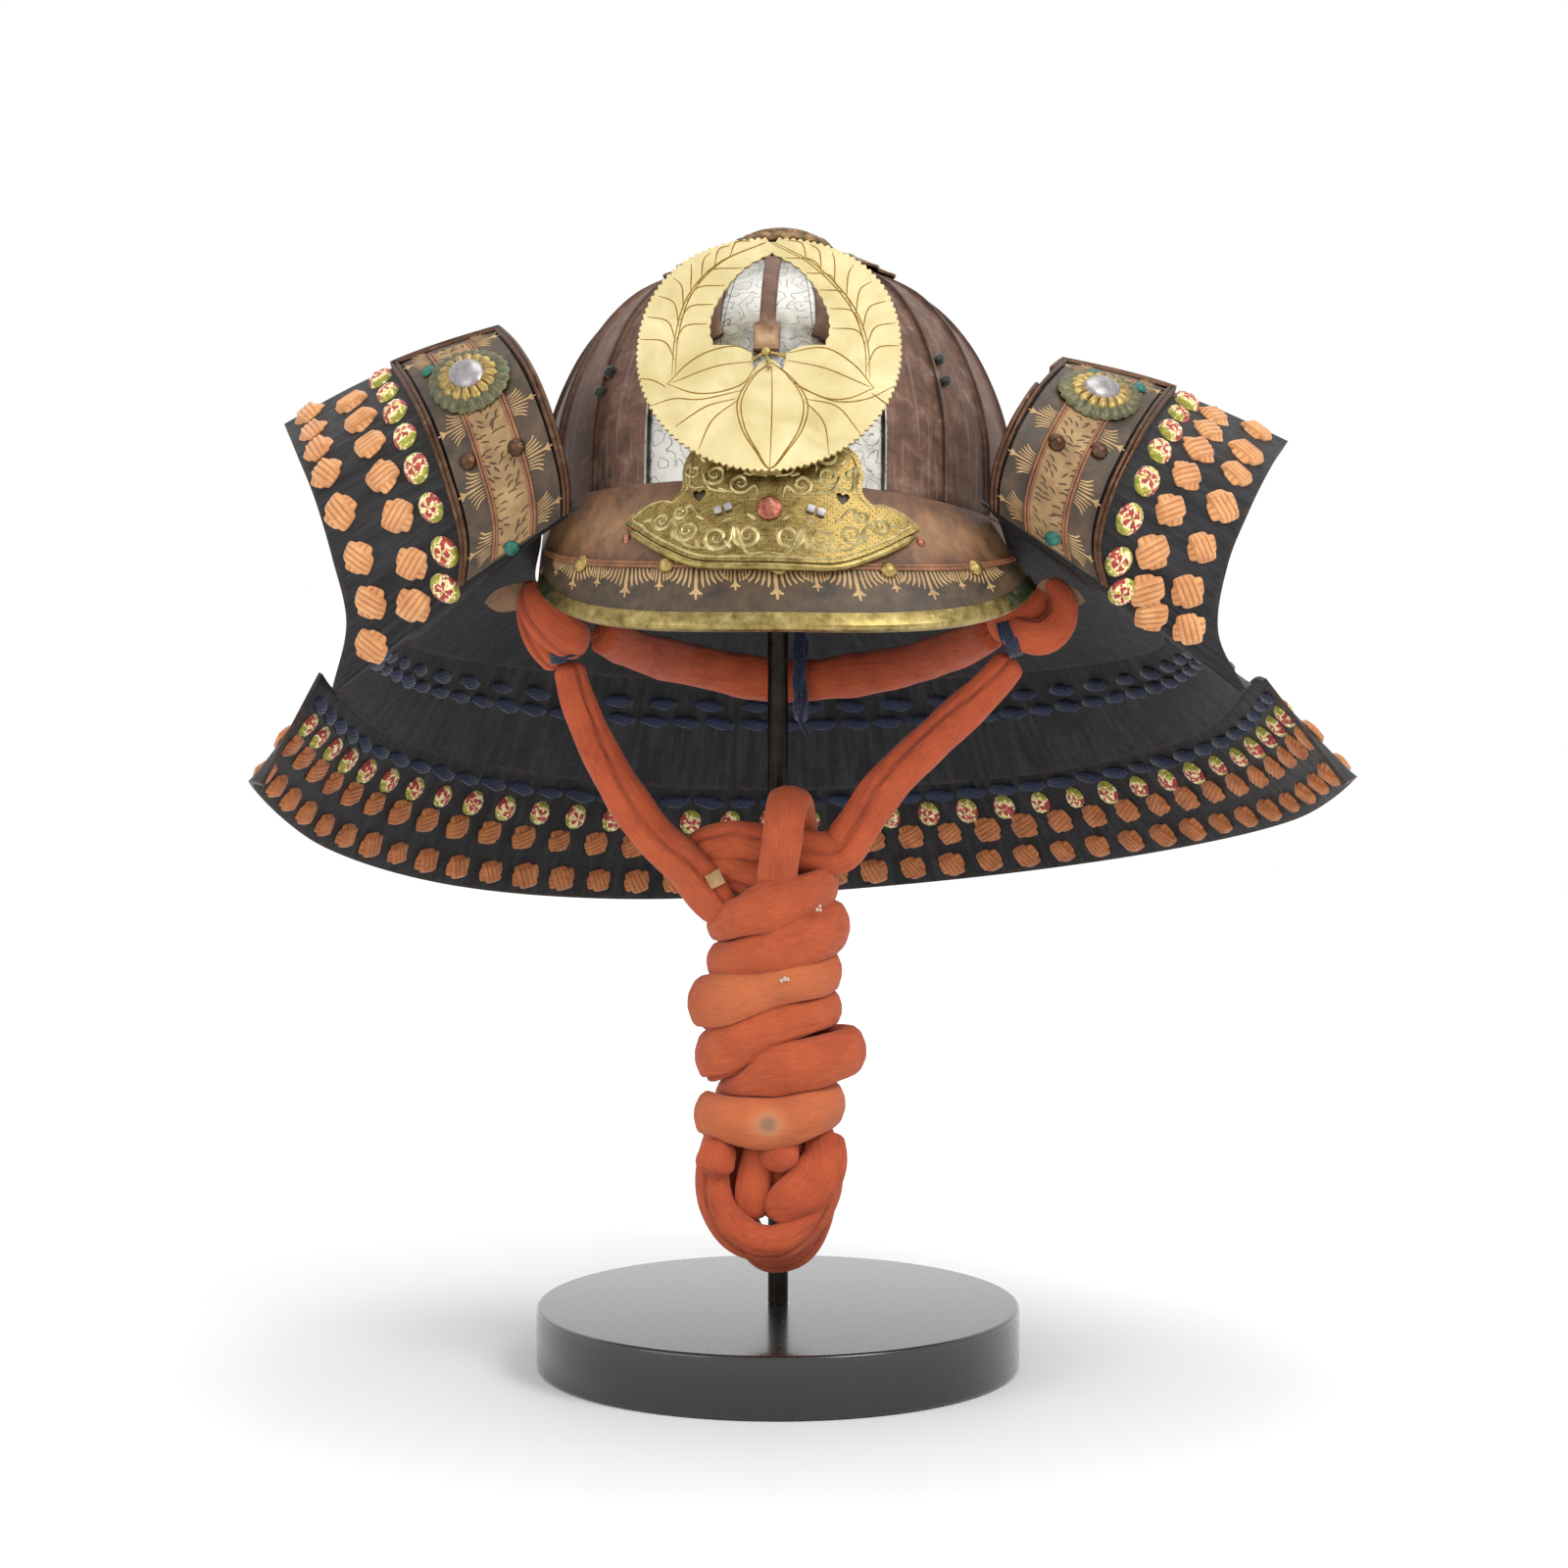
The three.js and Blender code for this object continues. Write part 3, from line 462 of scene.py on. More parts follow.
def cloth(name, low, high, cell, wear=None, rib=0.0, bump=0.5, crease=None):
    """Silk thread: a colour between two that shifts over 8 mm, ribs across the cord every cell mm, and
    paler threads where the tone attribute rises, painted shade in the crease colour where it falls below 0."""
    m, tree, shader, where, tone = finish_of(name, {"Roughness": 0.8, "Sheen Weight": 0.35,
                                                    "Sheen Roughness": 0.4})
    drift = node(tree, "TexNoise", {"Vector": where["Object"], "Scale": 1 / (8 * MM), "Detail": 5.0})
    grain = node(tree, "TexNoise", {"Vector": where["Object"], "Scale": 1 / (cell * MM), "Detail": 4.0,
                                    "Roughness": 0.7})
    both = node(tree, "Math", {0: drift, 1: grain}, operation="ADD")
    level = node(tree, "MapRange", {0: both, 1: 0.75, 2: 1.25})
    colour = node(tree, "Mix", {0: level, 6: low, 7: high}, data_type="RGBA")
    height = grain
    if rib:
        stripes = node(tree, "Mapping", {"Vector": where["UV"], "Rotation": (0, 0, rib)})
        wave = node(tree, "TexWave", {"Vector": stripes, "Scale": 1 / (PI * cell), "Distortion": 0.6,
                                      "Detail": 1.0})
        height = node(tree, "Math", {0: height, 1: wave}, operation="ADD")
        shade = node(tree, "MapRange", {0: wave, 1: 0.0, 2: 0.5, 3: 0.45, 4: 0.0})
        colour = node(tree, "Mix", {0: shade, 6: colour, 7: low}, data_type="RGBA")
    if wear:
        rubbed = node(tree, "MapRange", {0: tone, 1: 0.05, 2: 1.0})
        colour = node(tree, "Mix", {0: rubbed, 6: colour, 7: wear}, data_type="RGBA")
    # painted shade: the crease colour where tone falls below 0
    if crease:
        sunk = node(tree, "MapRange", {0: tone, 1: -0.02, 2: -0.9})
        colour = node(tree, "Mix", {0: sunk, 6: colour, 7: crease}, data_type="RGBA")
    lift = node(tree, "Bump", {"Height": height, "Strength": bump, "Distance": 0.35 * MM})
    fill(tree, shader, {"Base Color": colour, "Normal": lift})
    return m


def hide(name, dark, light, wear, rough=0.55):
    """Old leather: two browns over 12 mm, pores about 1 mm apart, worn where tone rises."""
    m, tree, shader, where, tone = finish_of(name, {"Roughness": rough})
    drift = node(tree, "TexNoise", {"Vector": where["Object"], "Scale": 1 / (12 * MM), "Detail": 7.0,
                                    "Roughness": 0.65, "Distortion": 0.3})
    level = node(tree, "MapRange", {0: drift, 1: 0.35, 2: 0.66})
    colour = node(tree, "Mix", {0: level, 6: dark, 7: light}, data_type="RGBA")
    rubbed = node(tree, "Math", {0: drift, 1: tone}, operation="MULTIPLY")
    rubbed = node(tree, "MapRange", {0: rubbed, 1: 0.1, 2: 0.7})
    colour = node(tree, "Mix", {0: rubbed, 6: colour, 7: wear}, data_type="RGBA")
    pores = node(tree, "TexVoronoi", {"Vector": where["Object"], "Scale": 1 / (1.1 * MM)})
    height = node(tree, "Math", {0: pores.outputs["Distance"], 1: drift}, operation="ADD")
    lift = node(tree, "Bump", {"Height": height, "Strength": 0.35, "Distance": 0.3 * MM})
    fill(tree, shader, {"Base Color": colour, "Normal": lift})
    return m


def lacquer(name, base, rust):
    """Black lacquer over iron: low brush ridges that run down the lame, grey on their raised streaks as
    dust and painted highlight, brown where tone rises."""
    m, tree, shader, where, tone = finish_of(name, {"Coat Weight": 0.08, "Coat Roughness": 0.35,
                                                    "Specular IOR Level": 0.3})
    ridges = node(tree, "Mapping", {"Vector": where["UV"], "Scale": (1 / 5, 1 / 60, 1)})
    brush = node(tree, "TexNoise", {"Vector": ridges, "Scale": 1.0, "Detail": 6.0, "Roughness": 0.7})
    spots = node(tree, "TexNoise", {"Vector": where["Object"], "Scale": 1 / (6 * MM), "Detail": 8.0,
                                    "Roughness": 0.7})
    amount = node(tree, "Math", {0: spots, 1: tone}, operation="ADD")
    amount = node(tree, "MapRange", {0: amount, 1: 0.66, 2: 0.9})
    colour = node(tree, "Mix", {0: amount, 6: base, 7: rust}, data_type="RGBA")
    # grey on the raised brush streaks: dust and painted highlight
    dust = node(tree, "MapRange", {0: brush, 1: 0.43, 2: 0.63, 3: 0.0, 4: 0.6})
    colour = node(tree, "Mix", {0: dust, 6: colour, 7: "#37363a"}, data_type="RGBA")
    rough = node(tree, "MapRange", {0: spots, 1: 0.3, 2: 0.8, 3: 0.38, 4: 0.66})
    height = node(tree, "Math", {0: brush, 1: spots}, operation="ADD")
    lift = node(tree, "Bump", {"Height": height, "Strength": 0.8, "Distance": 2.6 * MM})
    fill(tree, shader, {"Base Color": colour, "Roughness": rough, "Normal": lift})
    return m


def crepe():
    """Orange silk crepe: fine wavy lines that run along the cord about 1 mm apart, painted shade in the
    creases, paler where it is rubbed, grey where it is soiled and tone passes a half."""
    m, tree, shader, where, tone = finish_of("orange_silk_crepe", {
        "Roughness": 0.85, "Sheen Weight": 0.08, "Sheen Roughness": 0.5})
    drift = node(tree, "TexNoise", {"Vector": where["Object"], "Scale": 1 / (16 * MM), "Detail": 4.0})
    along = node(tree, "Mapping", {"Vector": where["UV"], "Scale": (1 / 5, 1 / 0.9, 1)})
    waves = node(tree, "TexNoise", {"Vector": along, "Scale": 1.0, "Detail": 3.0, "Distortion": 0.6})
    folds = node(tree, "Mapping", {"Vector": where["UV"], "Scale": (1 / 34, 1 / 7, 1)})
    folds = node(tree, "TexNoise", {"Vector": folds, "Scale": 1.0, "Detail": 2.0, "Distortion": 0.8})
    weave = node(tree, "TexNoise", {"Vector": where["Object"], "Scale": 1 / (0.7 * MM), "Detail": 3.0})
    level = node(tree, "Math", {0: drift, 1: waves}, operation="ADD")
    level = node(tree, "MapRange", {0: level, 1: 0.6, 2: 1.4})
    colour = node(tree, "Mix", {0: level, 6: "#8f3417", 7: "#b95327"}, data_type="RGBA")
    rubbed = node(tree, "MapRange", {0: tone, 1: 0.05, 2: 1.0})
    colour = node(tree, "Mix", {0: rubbed, 6: colour, 7: "#cf8450"}, data_type="RGBA")
    # painted shade: dark in the creases, where tone falls below 0
    sunk = node(tree, "MapRange", {0: tone, 1: -0.05, 2: -1.0, 3: 0.0, 4: 0.8})
    colour = node(tree, "Mix", {0: sunk, 6: colour, 7: "#5c1f10"}, data_type="RGBA")
    soiled = node(tree, "MapRange", {0: tone, 1: 0.5, 2: 1.4, 3: 0.0, 4: 0.75})
    colour = node(tree, "Mix", {0: soiled, 6: colour, 7: "#6b584c"}, data_type="RGBA")
    both = node(tree, "Math", {0: waves, 1: weave}, operation="ADD")
    fine = node(tree, "Bump", {"Height": both, "Strength": 0.55, "Distance": 0.5 * MM})
    broad = node(tree, "Bump", {"Height": folds, "Strength": 0.6, "Distance": 2.2 * MM, "Normal": fine})
    fill(tree, shader, {"Base Color": colour, "Normal": broad})
    return m


def mosaic():
    """Silk of three colours, stitch by stitch: yellow-green where tone is low, cream at the middle, red
    where it is high, the borders broken by 1 mm stitches."""
    m, tree, shader, where, tone = finish_of("three_colour_silk", {"Roughness": 0.7, "Sheen Weight": 0.3})
    stitch = node(tree, "TexVoronoi", {"Vector": where["Object"], "Scale": 1 / (1.5 * MM)})
    jump = node(tree, "MapRange", {0: stitch.outputs["Color"], 1: 0.0, 2: 1.0, 3: -0.75, 4: 0.75})
    level = node(tree, "Math", {0: tone, 1: jump}, operation="ADD")
    level = node(tree, "MapRange", {0: level, 1: -1.0, 2: 1.0})
    colour = node(tree, "ValToRGB", {0: level}, stops=[
        (0.12, "#8d8a2c"), (0.34, "#c4b64c"), (0.4, "#eee2b4"), (0.6, "#e9d7a6"), (0.66, "#bf4a38"),
        (0.9, "#8f2c24")])
    lift = node(tree, "Bump", {"Height": stitch.outputs["Distance"], "Strength": 0.5, "Distance": 0.5 * MM})
    fill(tree, shader, {"Base Color": colour, "Normal": lift})
    return m


def satin_black():
    """Satin black paint on turned wood: faint bright scratches and dust, slightly uneven gloss."""
    m, tree, shader, where, _ = finish_of("satin_black_paint", {"Coat Weight": 0.7, "Coat Roughness": 0.12})
    dust = node(tree, "TexNoise", {"Vector": where["Object"], "Scale": 1 / (2.2 * MM), "Detail": 9.0,
                                   "Roughness": 0.8})
    lines = node(tree, "Mapping", {"Vector": where["Object"], "Scale": (900, 900, 60),
                                   "Rotation": (0.2, 0.5, 0)})
    scratch = node(tree, "TexNoise", {"Vector": lines, "Scale": 1.0, "Detail": 2.0})
    marks = node(tree, "Math", {0: dust, 1: scratch}, operation="MULTIPLY")
    marks = node(tree, "MapRange", {0: marks, 1: 0.36, 2: 0.5, 3: 0.0, 4: 0.5})
    colour = node(tree, "Mix", {0: marks, 6: "#050506", 7: "#3c3d40"}, data_type="RGBA")
    rough = node(tree, "MapRange", {0: dust, 1: 0.3, 2: 0.7, 3: 0.2, 4: 0.34})
    lift = node(tree, "Bump", {"Height": dust, "Strength": 0.08, "Distance": 0.2 * MM})
    fill(tree, shader, {"Base Color": colour, "Roughness": rough, "Normal": lift})
    return m


PAINT = satin_black()
# iron and steel, brown and dull with age, and silver gone grey
STEEL = metal("browned_steel_rod", [(0.3, "#1d1a18"), (0.7, "#35302c")], 14, 0.3, grit_size=0.5)
RUSSET = metal("russet_iron", [(0.3, "#4a372e"), (0.5, "#694a3b"), (0.64, "#7d6150"), (0.8, "#a09b96")],
               9, 0.55, grit=0.3, metallic=0.55, streaks="#8f8881")
SILVER = metal("silvered_iron", [(0.3, "#88867f"), (0.6, "#acaaa4"), (0.85, "#c6c4be")], 7, 0.36,
               engraving=cloud_engraving)
DOME_SILVER = metal("grey_silver", [(0.3, "#858083"), (0.6, "#a9a4a4"), (0.85, "#cbc8c6")], 4, 0.4)
# brass, bronze and copper, green in their hollows
BRASS = metal("aged_brass", [(0.3, "#6a5a34"), (0.55, "#9c8a55"), (0.8, "#c4b483")], 6, 0.36,
              patina="#5f7459", blotch=0.08)
HOLDER_BRASS = metal("stippled_brass", [(0.3, "#6b5933"), (0.6, "#9f8953"), (0.85, "#bda877")], 5, 0.42,
                     patina="#64806a", blotch=0.08, engraving=stipple)
CROWN_BRONZE = metal("brown_bronze", [(0.3, "#4b3924"), (0.6, "#806544"), (0.85, "#a88b60")], 6, 0.42,
                     patina="#6b6a4e", blotch=0.1)
PALE_BRASS = metal("rubbed_brass", [(0.3, "#8f8052"), (0.55, "#b5a575"), (0.8, "#d0c399")], 5, 0.38)
COPPER = metal("brown_copper", [(0.3, "#3f2c20"), (0.6, "#63493a"), (0.85, "#8c7460")], 5, 0.42,
               patina="#5d6b50", blotch=0.3)
PINK_COPPER = metal("rubbed_copper", [(0.35, "#7d4636"), (0.55, "#a96a58"), (0.75, "#d0a595")], 3, 0.45,
                    grit=0.3)
GREEN_COPPER = metal("green_copper", [(0.3, "#4a4a36"), (0.55, "#68664c"), (0.8, "#8f8560")], 4, 0.5,
                     patina="#5d7a68", metallic=0.8, blotch=0.35)
GREEN_BRONZE = metal("green_bronze", [(0.3, "#1f5148"), (0.6, "#37776a"), (0.85, "#6a9a88")], 3, 0.55,
                     metallic=0.6)
# gilding: satin on the crest, brown in its engraved lines, dull on the rosettes
GILT = metal("satin_gilt", [(0.3, "#d9c78e"), (0.6, "#e1d1a0"), (0.8, "#e9ddb6")], 22, 0.42, grit=0.04,
             line="#7a5a20")
GILT_LINE = metal("engraved_gilt", [(0.3, "#7d5c22"), (0.8, "#a9843a")], 5, 0.4)
OLD_GILT = metal("dull_gilt", [(0.3, "#7f6a3c"), (0.55, "#a8905a"), (0.8, "#c4ad74")], 4, 0.45,
                 line="#2a2014")
LACQUER = lacquer("black_lacquer_on_iron", "#0b0a0b", "#43301f")
# leather, and the dyes stencilled on it
TAN = hide("tan_leather", "#5f4228", "#8f6a48", "#b59470")
RUST_TAN = hide("rubbed_rust_leather", "#4b311f", "#754c32", "#9a7552")
DARK_HIDE = hide("dark_stamped_leather", "#2b2015", "#54402a", "#84663f")
PIPING = hide("red_brown_piping", "#6b4229", "#93613f", "#b5865c")
SPRAY_DYE = hide("tan_dye", "#94744a", "#bf9d6e", "#d4ba8c", rough=0.75)
FLECK = hide("dark_dye", "#3a281a", "#5f4428", "#7a5c3a", rough=0.75)
CREAM = hide("cream_dye", "#7f6340", "#a5865c", "#bca178", rough=0.75)
# silk, cotton and canvas
CREPE = crepe()
MOSAIC = mosaic()
CANVAS = cloth("woven_canvas", "#85653e", "#bd9c6a", 0.9, rib=0.8)
STUFFING = cloth("cotton_stuffing", "#a8947c", "#d6c8b2", 0.8)
# the braids' crease colours are painted shade between their ribs
BRAID = cloth("orange_braid", "#bd7a48", "#dfa66e", 0.8, wear="#ead0b0", bump=0.7, crease="#6e3517")
RUST_BRAID = cloth("rust_braid", "#9a5529", "#cc8148", 0.8, bump=0.7, crease="#4c210d")
NAVY = cloth("navy_braid", "#0a1124", "#1b294c", 1.6, rib=0.9)
GREEN_CORD = cloth("dark_green_cord", "#14140f", "#2f3324", 1.0)


# ================================================================ camera, light and floor
camera_data = bpy.data.cameras.new("camera")
camera_data.lens = 103.18
camera_data.sensor_width = 36
camera = bpy.data.objects.new("camera", camera_data)
camera.location = (0.1181, -2.1970, 0.5061)
camera.rotation_euler = (Vector((0.003, 0, 0.2904)) - camera.location).to_track_quat("-Z", "Y").to_euler()
bpy.context.scene.collection.objects.link(camera)
bpy.context.scene.camera = camera
bpy.context.scene.view_settings.view_transform = "Standard"


def lamp(name, at, size, power):
    """A square lamp that looks at the middle of the helmet and stand."""
    data = bpy.data.lights.new(name, "AREA")
    data.size, data.energy = size, power
    light = bpy.data.objects.new(name, data)
    light.location = at
    light.rotation_euler = (Vector((0, 0, 0.3)) - Vector(at)).to_track_quat("-Z", "Y").to_euler()
    bpy.context.scene.collection.objects.link(light)


lamp("key_light", (1.3, -1.1, 1.9), 0.9, 26)
lamp("fill_light", (-1.5, -1.3, 1.1), 1.2, 9)
lamp("top_light", (0.1, 0.5, 2.2), 1.2, 12)
world = bpy.data.worlds.new("soft_white_room")
world.use_nodes = True
world.node_tree.nodes["Background"].inputs["Color"].default_value = (1, 1, 1, 1)
world.node_tree.nodes["Background"].inputs["Strength"].default_value = 1.0
bpy.context.scene.world = world


def studio_floor():
    """A round floor of white paper, 4 m across, just below the stand, with painted shade that greys it
    near the stand and fades out between 0.25 and 0.75 m.
    """
    radius, sides, drop = 2.0, 96, 0.0004
    mesh = bpy.data.meshes.new("floor")
    a = np.linspace(0, 2 * PI, sides, endpoint=False)
    rim = np.stack([radius * np.cos(a), radius * np.sin(a), 0 * a - drop], -1)
    mesh.from_pydata(rim.tolist(), [], [list(range(sides))])
    floor = bpy.data.objects.new("floor", mesh)
    m, tree, shader, where, _ = finish_of("white_paper_floor", {"Roughness": 0.7})
    far = node(tree, "VectorMath", {0: where["Object"]}, operation="LENGTH").outputs["Value"]
    # painted shade: the floor greys within 0.75 m of the stand
    near = node(tree, "MapRange", {0: far, 1: 0.25, 2: 0.75})
    paper = node(tree, "Mix", {0: near, 6: "#e2e2e3", 7: "#ffffff"}, data_type="RGBA")
    speck = node(tree, "TexNoise", {"Vector": where["Object"], "Scale": 400.0})
    lift = node(tree, "Bump", {"Height": speck, "Strength": 0.02})
    fill(tree, shader, {"Base Color": paper, "Normal": lift})
    mesh.materials.append(m)
    bpy.context.scene.collection.objects.link(floor)


studio_floor()


# ================================================================ stand
def rounded(profile, radius, steps=6):
    """A profile with its inner corners rounded by arcs of the given radius."""
    p = np.asarray(profile, float)
    out = [p[0]]
    for a, b, c in zip(p, p[1:], p[2:]):
        reach = min(radius, np.linalg.norm(b - a) / 2, np.linalg.norm(c - b) / 2)
        start, end = b + unit(a - b) * reach, b + unit(c - b) * reach
        t = np.linspace(0, 1, steps)[:, None]
        out.extend((1 - t) ** 2 * start + 2 * t * (1 - t) * b + t * t * end)
    out.append(p[-1])
    return np.array(out)


cap_foot = ROD_TOP + GAP
piece("disc", turned(rounded([(0, 0), (DISC_R, 0), (DISC_R, DISC_H), (0, DISC_H)], 2.2), 160), [PAINT],
      ["base_disc"])
rod = [(0, DISC_H + GAP), (ROD_R, DISC_H + GAP), (ROD_R, ROD_TOP), (0, ROD_TOP)]
piece("rod", turned(rounded(rod, 0.4), 48), [STEEL], ["stand_rod"])
cap = [(0, cap_foot), (14, cap_foot), (14, ROD_TOP + 6), (9.8, ROD_TOP + 12.8), (0, ROD_TOP + 16)]
piece("rod_cap", turned(rounded(cap, 2), 40), [PAINT], ["stand_cap"])


# ================================================================ bowl
def on_helmet(p):
    """From the helmet's own frame to the row's: leaning back by the tilt, seated on the rod."""
    x, y, z = p[..., 0], p[..., 1], p[..., 2]
    c, s = np.cos(TILT), np.sin(TILT)
    return np.stack([x, y * c + z * s, -y * s + z * c + SEAT_Z], -1)


bowl_curve = curve([(r, 0, z) for r, z in BOWL_PROFILE])


def bowl(s, angle, off):
    """Base 0 to crown 1, angle from the front, off outwards: the profile carried round an ellipse, its
    offset laid along the profile's normal."""
    s, angle = np.broadcast_arrays(np.asarray(s, float), np.asarray(angle, float))
    p = bowl_curve(s)
    slope = unit(bowl_curve(np.minimum(s + 1e-4, 1)) - bowl_curve(np.maximum(s - 1e-4, 0)))
    out = off * slope[..., 2]
    return np.stack([(p[..., 0] + out) * np.sin(angle), -(p[..., 0] * BOWL_B / BOWL_A + out) * np.cos(angle),
                     p[..., 2] - off * slope[..., 0]], -1)


SPREAD = np.linspace(0, 1, 4001)
SPREAD_AT = bowl_curve(SPREAD)


def bowl_at(radius):
    """The s where the profile narrows to a radius, looked for above its upright foot."""
    narrowing = SPREAD > 0.1
    return np.interp(radius, SPREAD_AT[narrowing, 0][::-1], SPREAD[narrowing][::-1])


def bowl_plate(start, end, ridge):
    """One plate: its skin between two seams, and along one seam a standing ridge that fades at the crown.
    The section is a list of (part of the way across, offset, shade), carried up the bowl."""
    s = np.linspace(0, 1, 46)[:, None]
    r = bowl_curve(s)[..., 0]
    slack = GAP / 2 / r
    wide = RIDGE_W / r
    lift = RIDGE_H * np.clip((r - 45) / 30, 0.15, 1)
    a, b = np.radians(start) + slack, np.radians(end) - slack
    if ridge < 0:
        a, b = b, a
        wide = -wide
    across = np.linspace(0, 1, 11)
    parts = [(blend_to(a, b - wide * 1.25, t), 0.0 * r, 0.0) for t in across]
    if ridge:
        parts += [(b - wide * 1.02, lift * 0.45, -0.55), (b - wide * 0.96, lift * 0.86, -0.7),
                  (b - wide * 0.75, lift, -0.35), (b - wide * 0.25, lift, -0.35),
                  (b - wide * 0.04, lift * 0.86, -0.7), (b, lift * 0.4, -0.9), (b, 0.0 * r, -1.0)]
    else:
        parts += [(b, 0.0 * r, 0.0)]
    parts += [(blend_to(b, a, t), 0 * r - PLATE_TH, 0.0) for t in np.linspace(0, 1, 7)]
    angle = np.concatenate([part[0] for part in parts], 1)
    off = np.concatenate([part[1] for part in parts], 1)
    tone = np.array([part[2] for part in parts])[None] + 0 * angle
    ring = on_helmet(bowl(s + 0 * angle, angle, off))
    middles = []
    for k in (0, -1):
        front = ring[k, :len(across) + 1]
        back = ring[k, ::-1][:len(across) + 1]
        middles.append(grid(np.stack([front, back])))
    return join(grid(ring, close_v=True, tone=tone, size=(150, 90)), *middles)


def rim_of(ring):
    """The closed end of a carried section, drawn in to its middle."""
    return grid(np.stack([ring, np.repeat(ring.mean(0, keepdims=True), len(ring), 0)]), close_v=True)


seams = [FIRST_SEAM + i * SEAM_STEP for i in range(SEAMS)]
plates = [(-FIRST_SEAM, FIRST_SEAM, 0)]
plates += [(seam, seam + SEAM_STEP, 1) for seam in seams[:-1]]
plates += [(seams[-1], 360 - seams[-1], 0)]
plates += [(-seam - SEAM_STEP, -seam, -1) for seam in seams[-2::-1]]
for i, (start, end, ridge) in enumerate(plates):
    bright = i in (0, 1, len(plates) - 1)
    name = f"{i + 1:02d}"
    piece(f"plate_{name}", bowl_plate(start, end, ridge), [SILVER if bright else RUSSET],
          [f"bowl_plate_{name}"])


def plan(angle, off, z):
    """Round the bowl's base: an ellipse with an even offset."""
    angle = np.asarray(angle, float)
    return np.stack([(BOWL_A + off) * np.sin(angle), -(BOWL_B + off) * np.cos(angle), z + 0 * angle], -1)


def band():
    """The band round the foot: a thin lipped section carried round the bowl's ellipse."""
    a = np.linspace(0, 2 * PI, 192, endpoint=False)
    section = rounded([(-1.2, -0.5), (0.6, -0.5), (1.6, -11), (2.4, -21.5), (0.9, -22), (-0.2, -11),
                       (-1.2, -0.5)], 0.5, 4)
    return grid(on_helmet(np.stack([plan(a, off, z) for off, z in section])), close_v=True)


piece("base_band_fine", band(), [RUSSET], ["base_band"])


# ---- crown
def crown_point(x, y, z):
    """A place over the crown, in the row's frame."""
    return on_helmet(np.stack([x, y, z], -1))


def crown_petals(a, r, _):
    """Sixteen petals: radius and height swell between the cuts, most at the rim."""
    swell = np.abs(np.cos(8 * a)) - 0.6
    return 0.9 * swell * smooth(r, 14, 24), 0.5 * swell * smooth(r, 12, 20)


def crown():
    """A ring of petals and the stepped ring in it, both turned profiles, with beads between them."""
    petals = turned(rounded([(8, 143.6), (25, 143.6), (26, 146), (22.5, 149.4), (19, 149.9), (8, 148)], 1.2),
                    160, crown_point, crown_petals)
    steps = turned(rounded([(17.5, 149), (17.2, 152), (14.4, 153.4), (12.4, 152), (11.5, 154.3), (9, 154.6),
                            (8.2, 152), (8, 148)], 0.5, 4), 96, crown_point)
    beads, beads_r = 40, 19.6
    a = np.linspace(0, 2 * PI, beads, endpoint=False)
    bead = turned(rounded([(0, 0), (0.9, 0), (0.9, 0.7), (0, 1.1)], 0.5, 3), 8)
    at = crown_point(beads_r * np.cos(a), beads_r * np.sin(a), 149.8 + 0 * a)
    x, y, z = on_helmet(np.eye(3)) - on_helmet(np.zeros((1, 3)))
    return join(petals, steps, stamp(bead, at, *(np.tile(way, (beads, 1)) for way in (x, y, z))))


piece("crown_ring_fine", crown(), [CROWN_BRONZE], ["crown_ring"])


def collar():
    """A fluted sheet over the bowl, scalloped at its edge: radius and offset follow the cosine of 20
    times the angle, and a raised rib and a bead go round it.  The flutes' hollows get painted shade
    through a low tone."""
    rib_r, bead_r, thickness = 42.2, 55.8, 1.2
    a = np.linspace(0, 2 * PI, 480, endpoint=False)[None]
    r = np.array([22, 25, 30, 36, 40, 41, 42.2, 43.4, 46, 49, 52, 54.5, 56.2])[:, None]
    flute = np.cos(20 * a)
    rib = 0.8 * np.exp(-((r - rib_r) / 1.0) ** 2) + 0.5 * np.exp(-((r - bead_r) / 0.8) ** 2)
    s = bowl_at(r + 1.6 * smooth(r, 46, 57) * flute)
    off = 3.4 + 0.7 * smooth(r, 34, 50) * flute + rib
    front = on_helmet(bowl(s, a + 0 * r, off))
    back = on_helmet(bowl(s, a + 0 * r, off - thickness))
    # painted shade: tone falls in the hollows of the flutes
    tone = -0.5 * smooth(-flute, 0.75, 1.0) * smooth(r, 34, 44) + 0 * a
    ends = [grid(np.stack([front[k], back[k]]), close_v=True) for k in (0, -1)]
    return join(grid(front, close_v=True, tone=tone), grid(back, close_v=True), *ends)


piece("crown_collar_fine", collar(), [CROWN_BRONZE], ["crown_collar"])


# ---- strips down the front
STRIP_FOOT, STRIP_TOP_R = 0.33, 61
STRIP_SECTION = np.array([(0, 0.3), (0, 1.5), (0.06, 2.0), (0.16, 2.15), (0.5, 2.3), (0.84, 2.15),
                          (0.94, 2.0), (1, 1.5), (1, 0.3)])


def strip(centre, half_left, half_right):
    """A strip up the front of the bowl: a low section, (part across, offset), carried up a line at an
    angle from the front.  Its half widths in mm follow the height."""
    s = np.linspace(STRIP_FOOT, bowl_at(STRIP_TOP_R), 60)[:, None]
    p = bowl_curve(s)
    around = p[..., 0] * BOWL_B / BOWL_A
    left, right = half_left(p[..., 2]), half_right(p[..., 2])
    t, off = STRIP_SECTION.T[:, None]
    angle = np.radians(centre) + blend_to(-left, right, t) / around
    ring = on_helmet(bowl(s + 0 * t, angle, off + 0 * s))
    return join(grid(ring, close_v=True), rim_of(ring[0]), rim_of(ring[-1]))


def middle_half(z):
    """Half width of the middle strip: a wide foot, then even."""
    return np.where(z < 80, 6.9, 4.1)


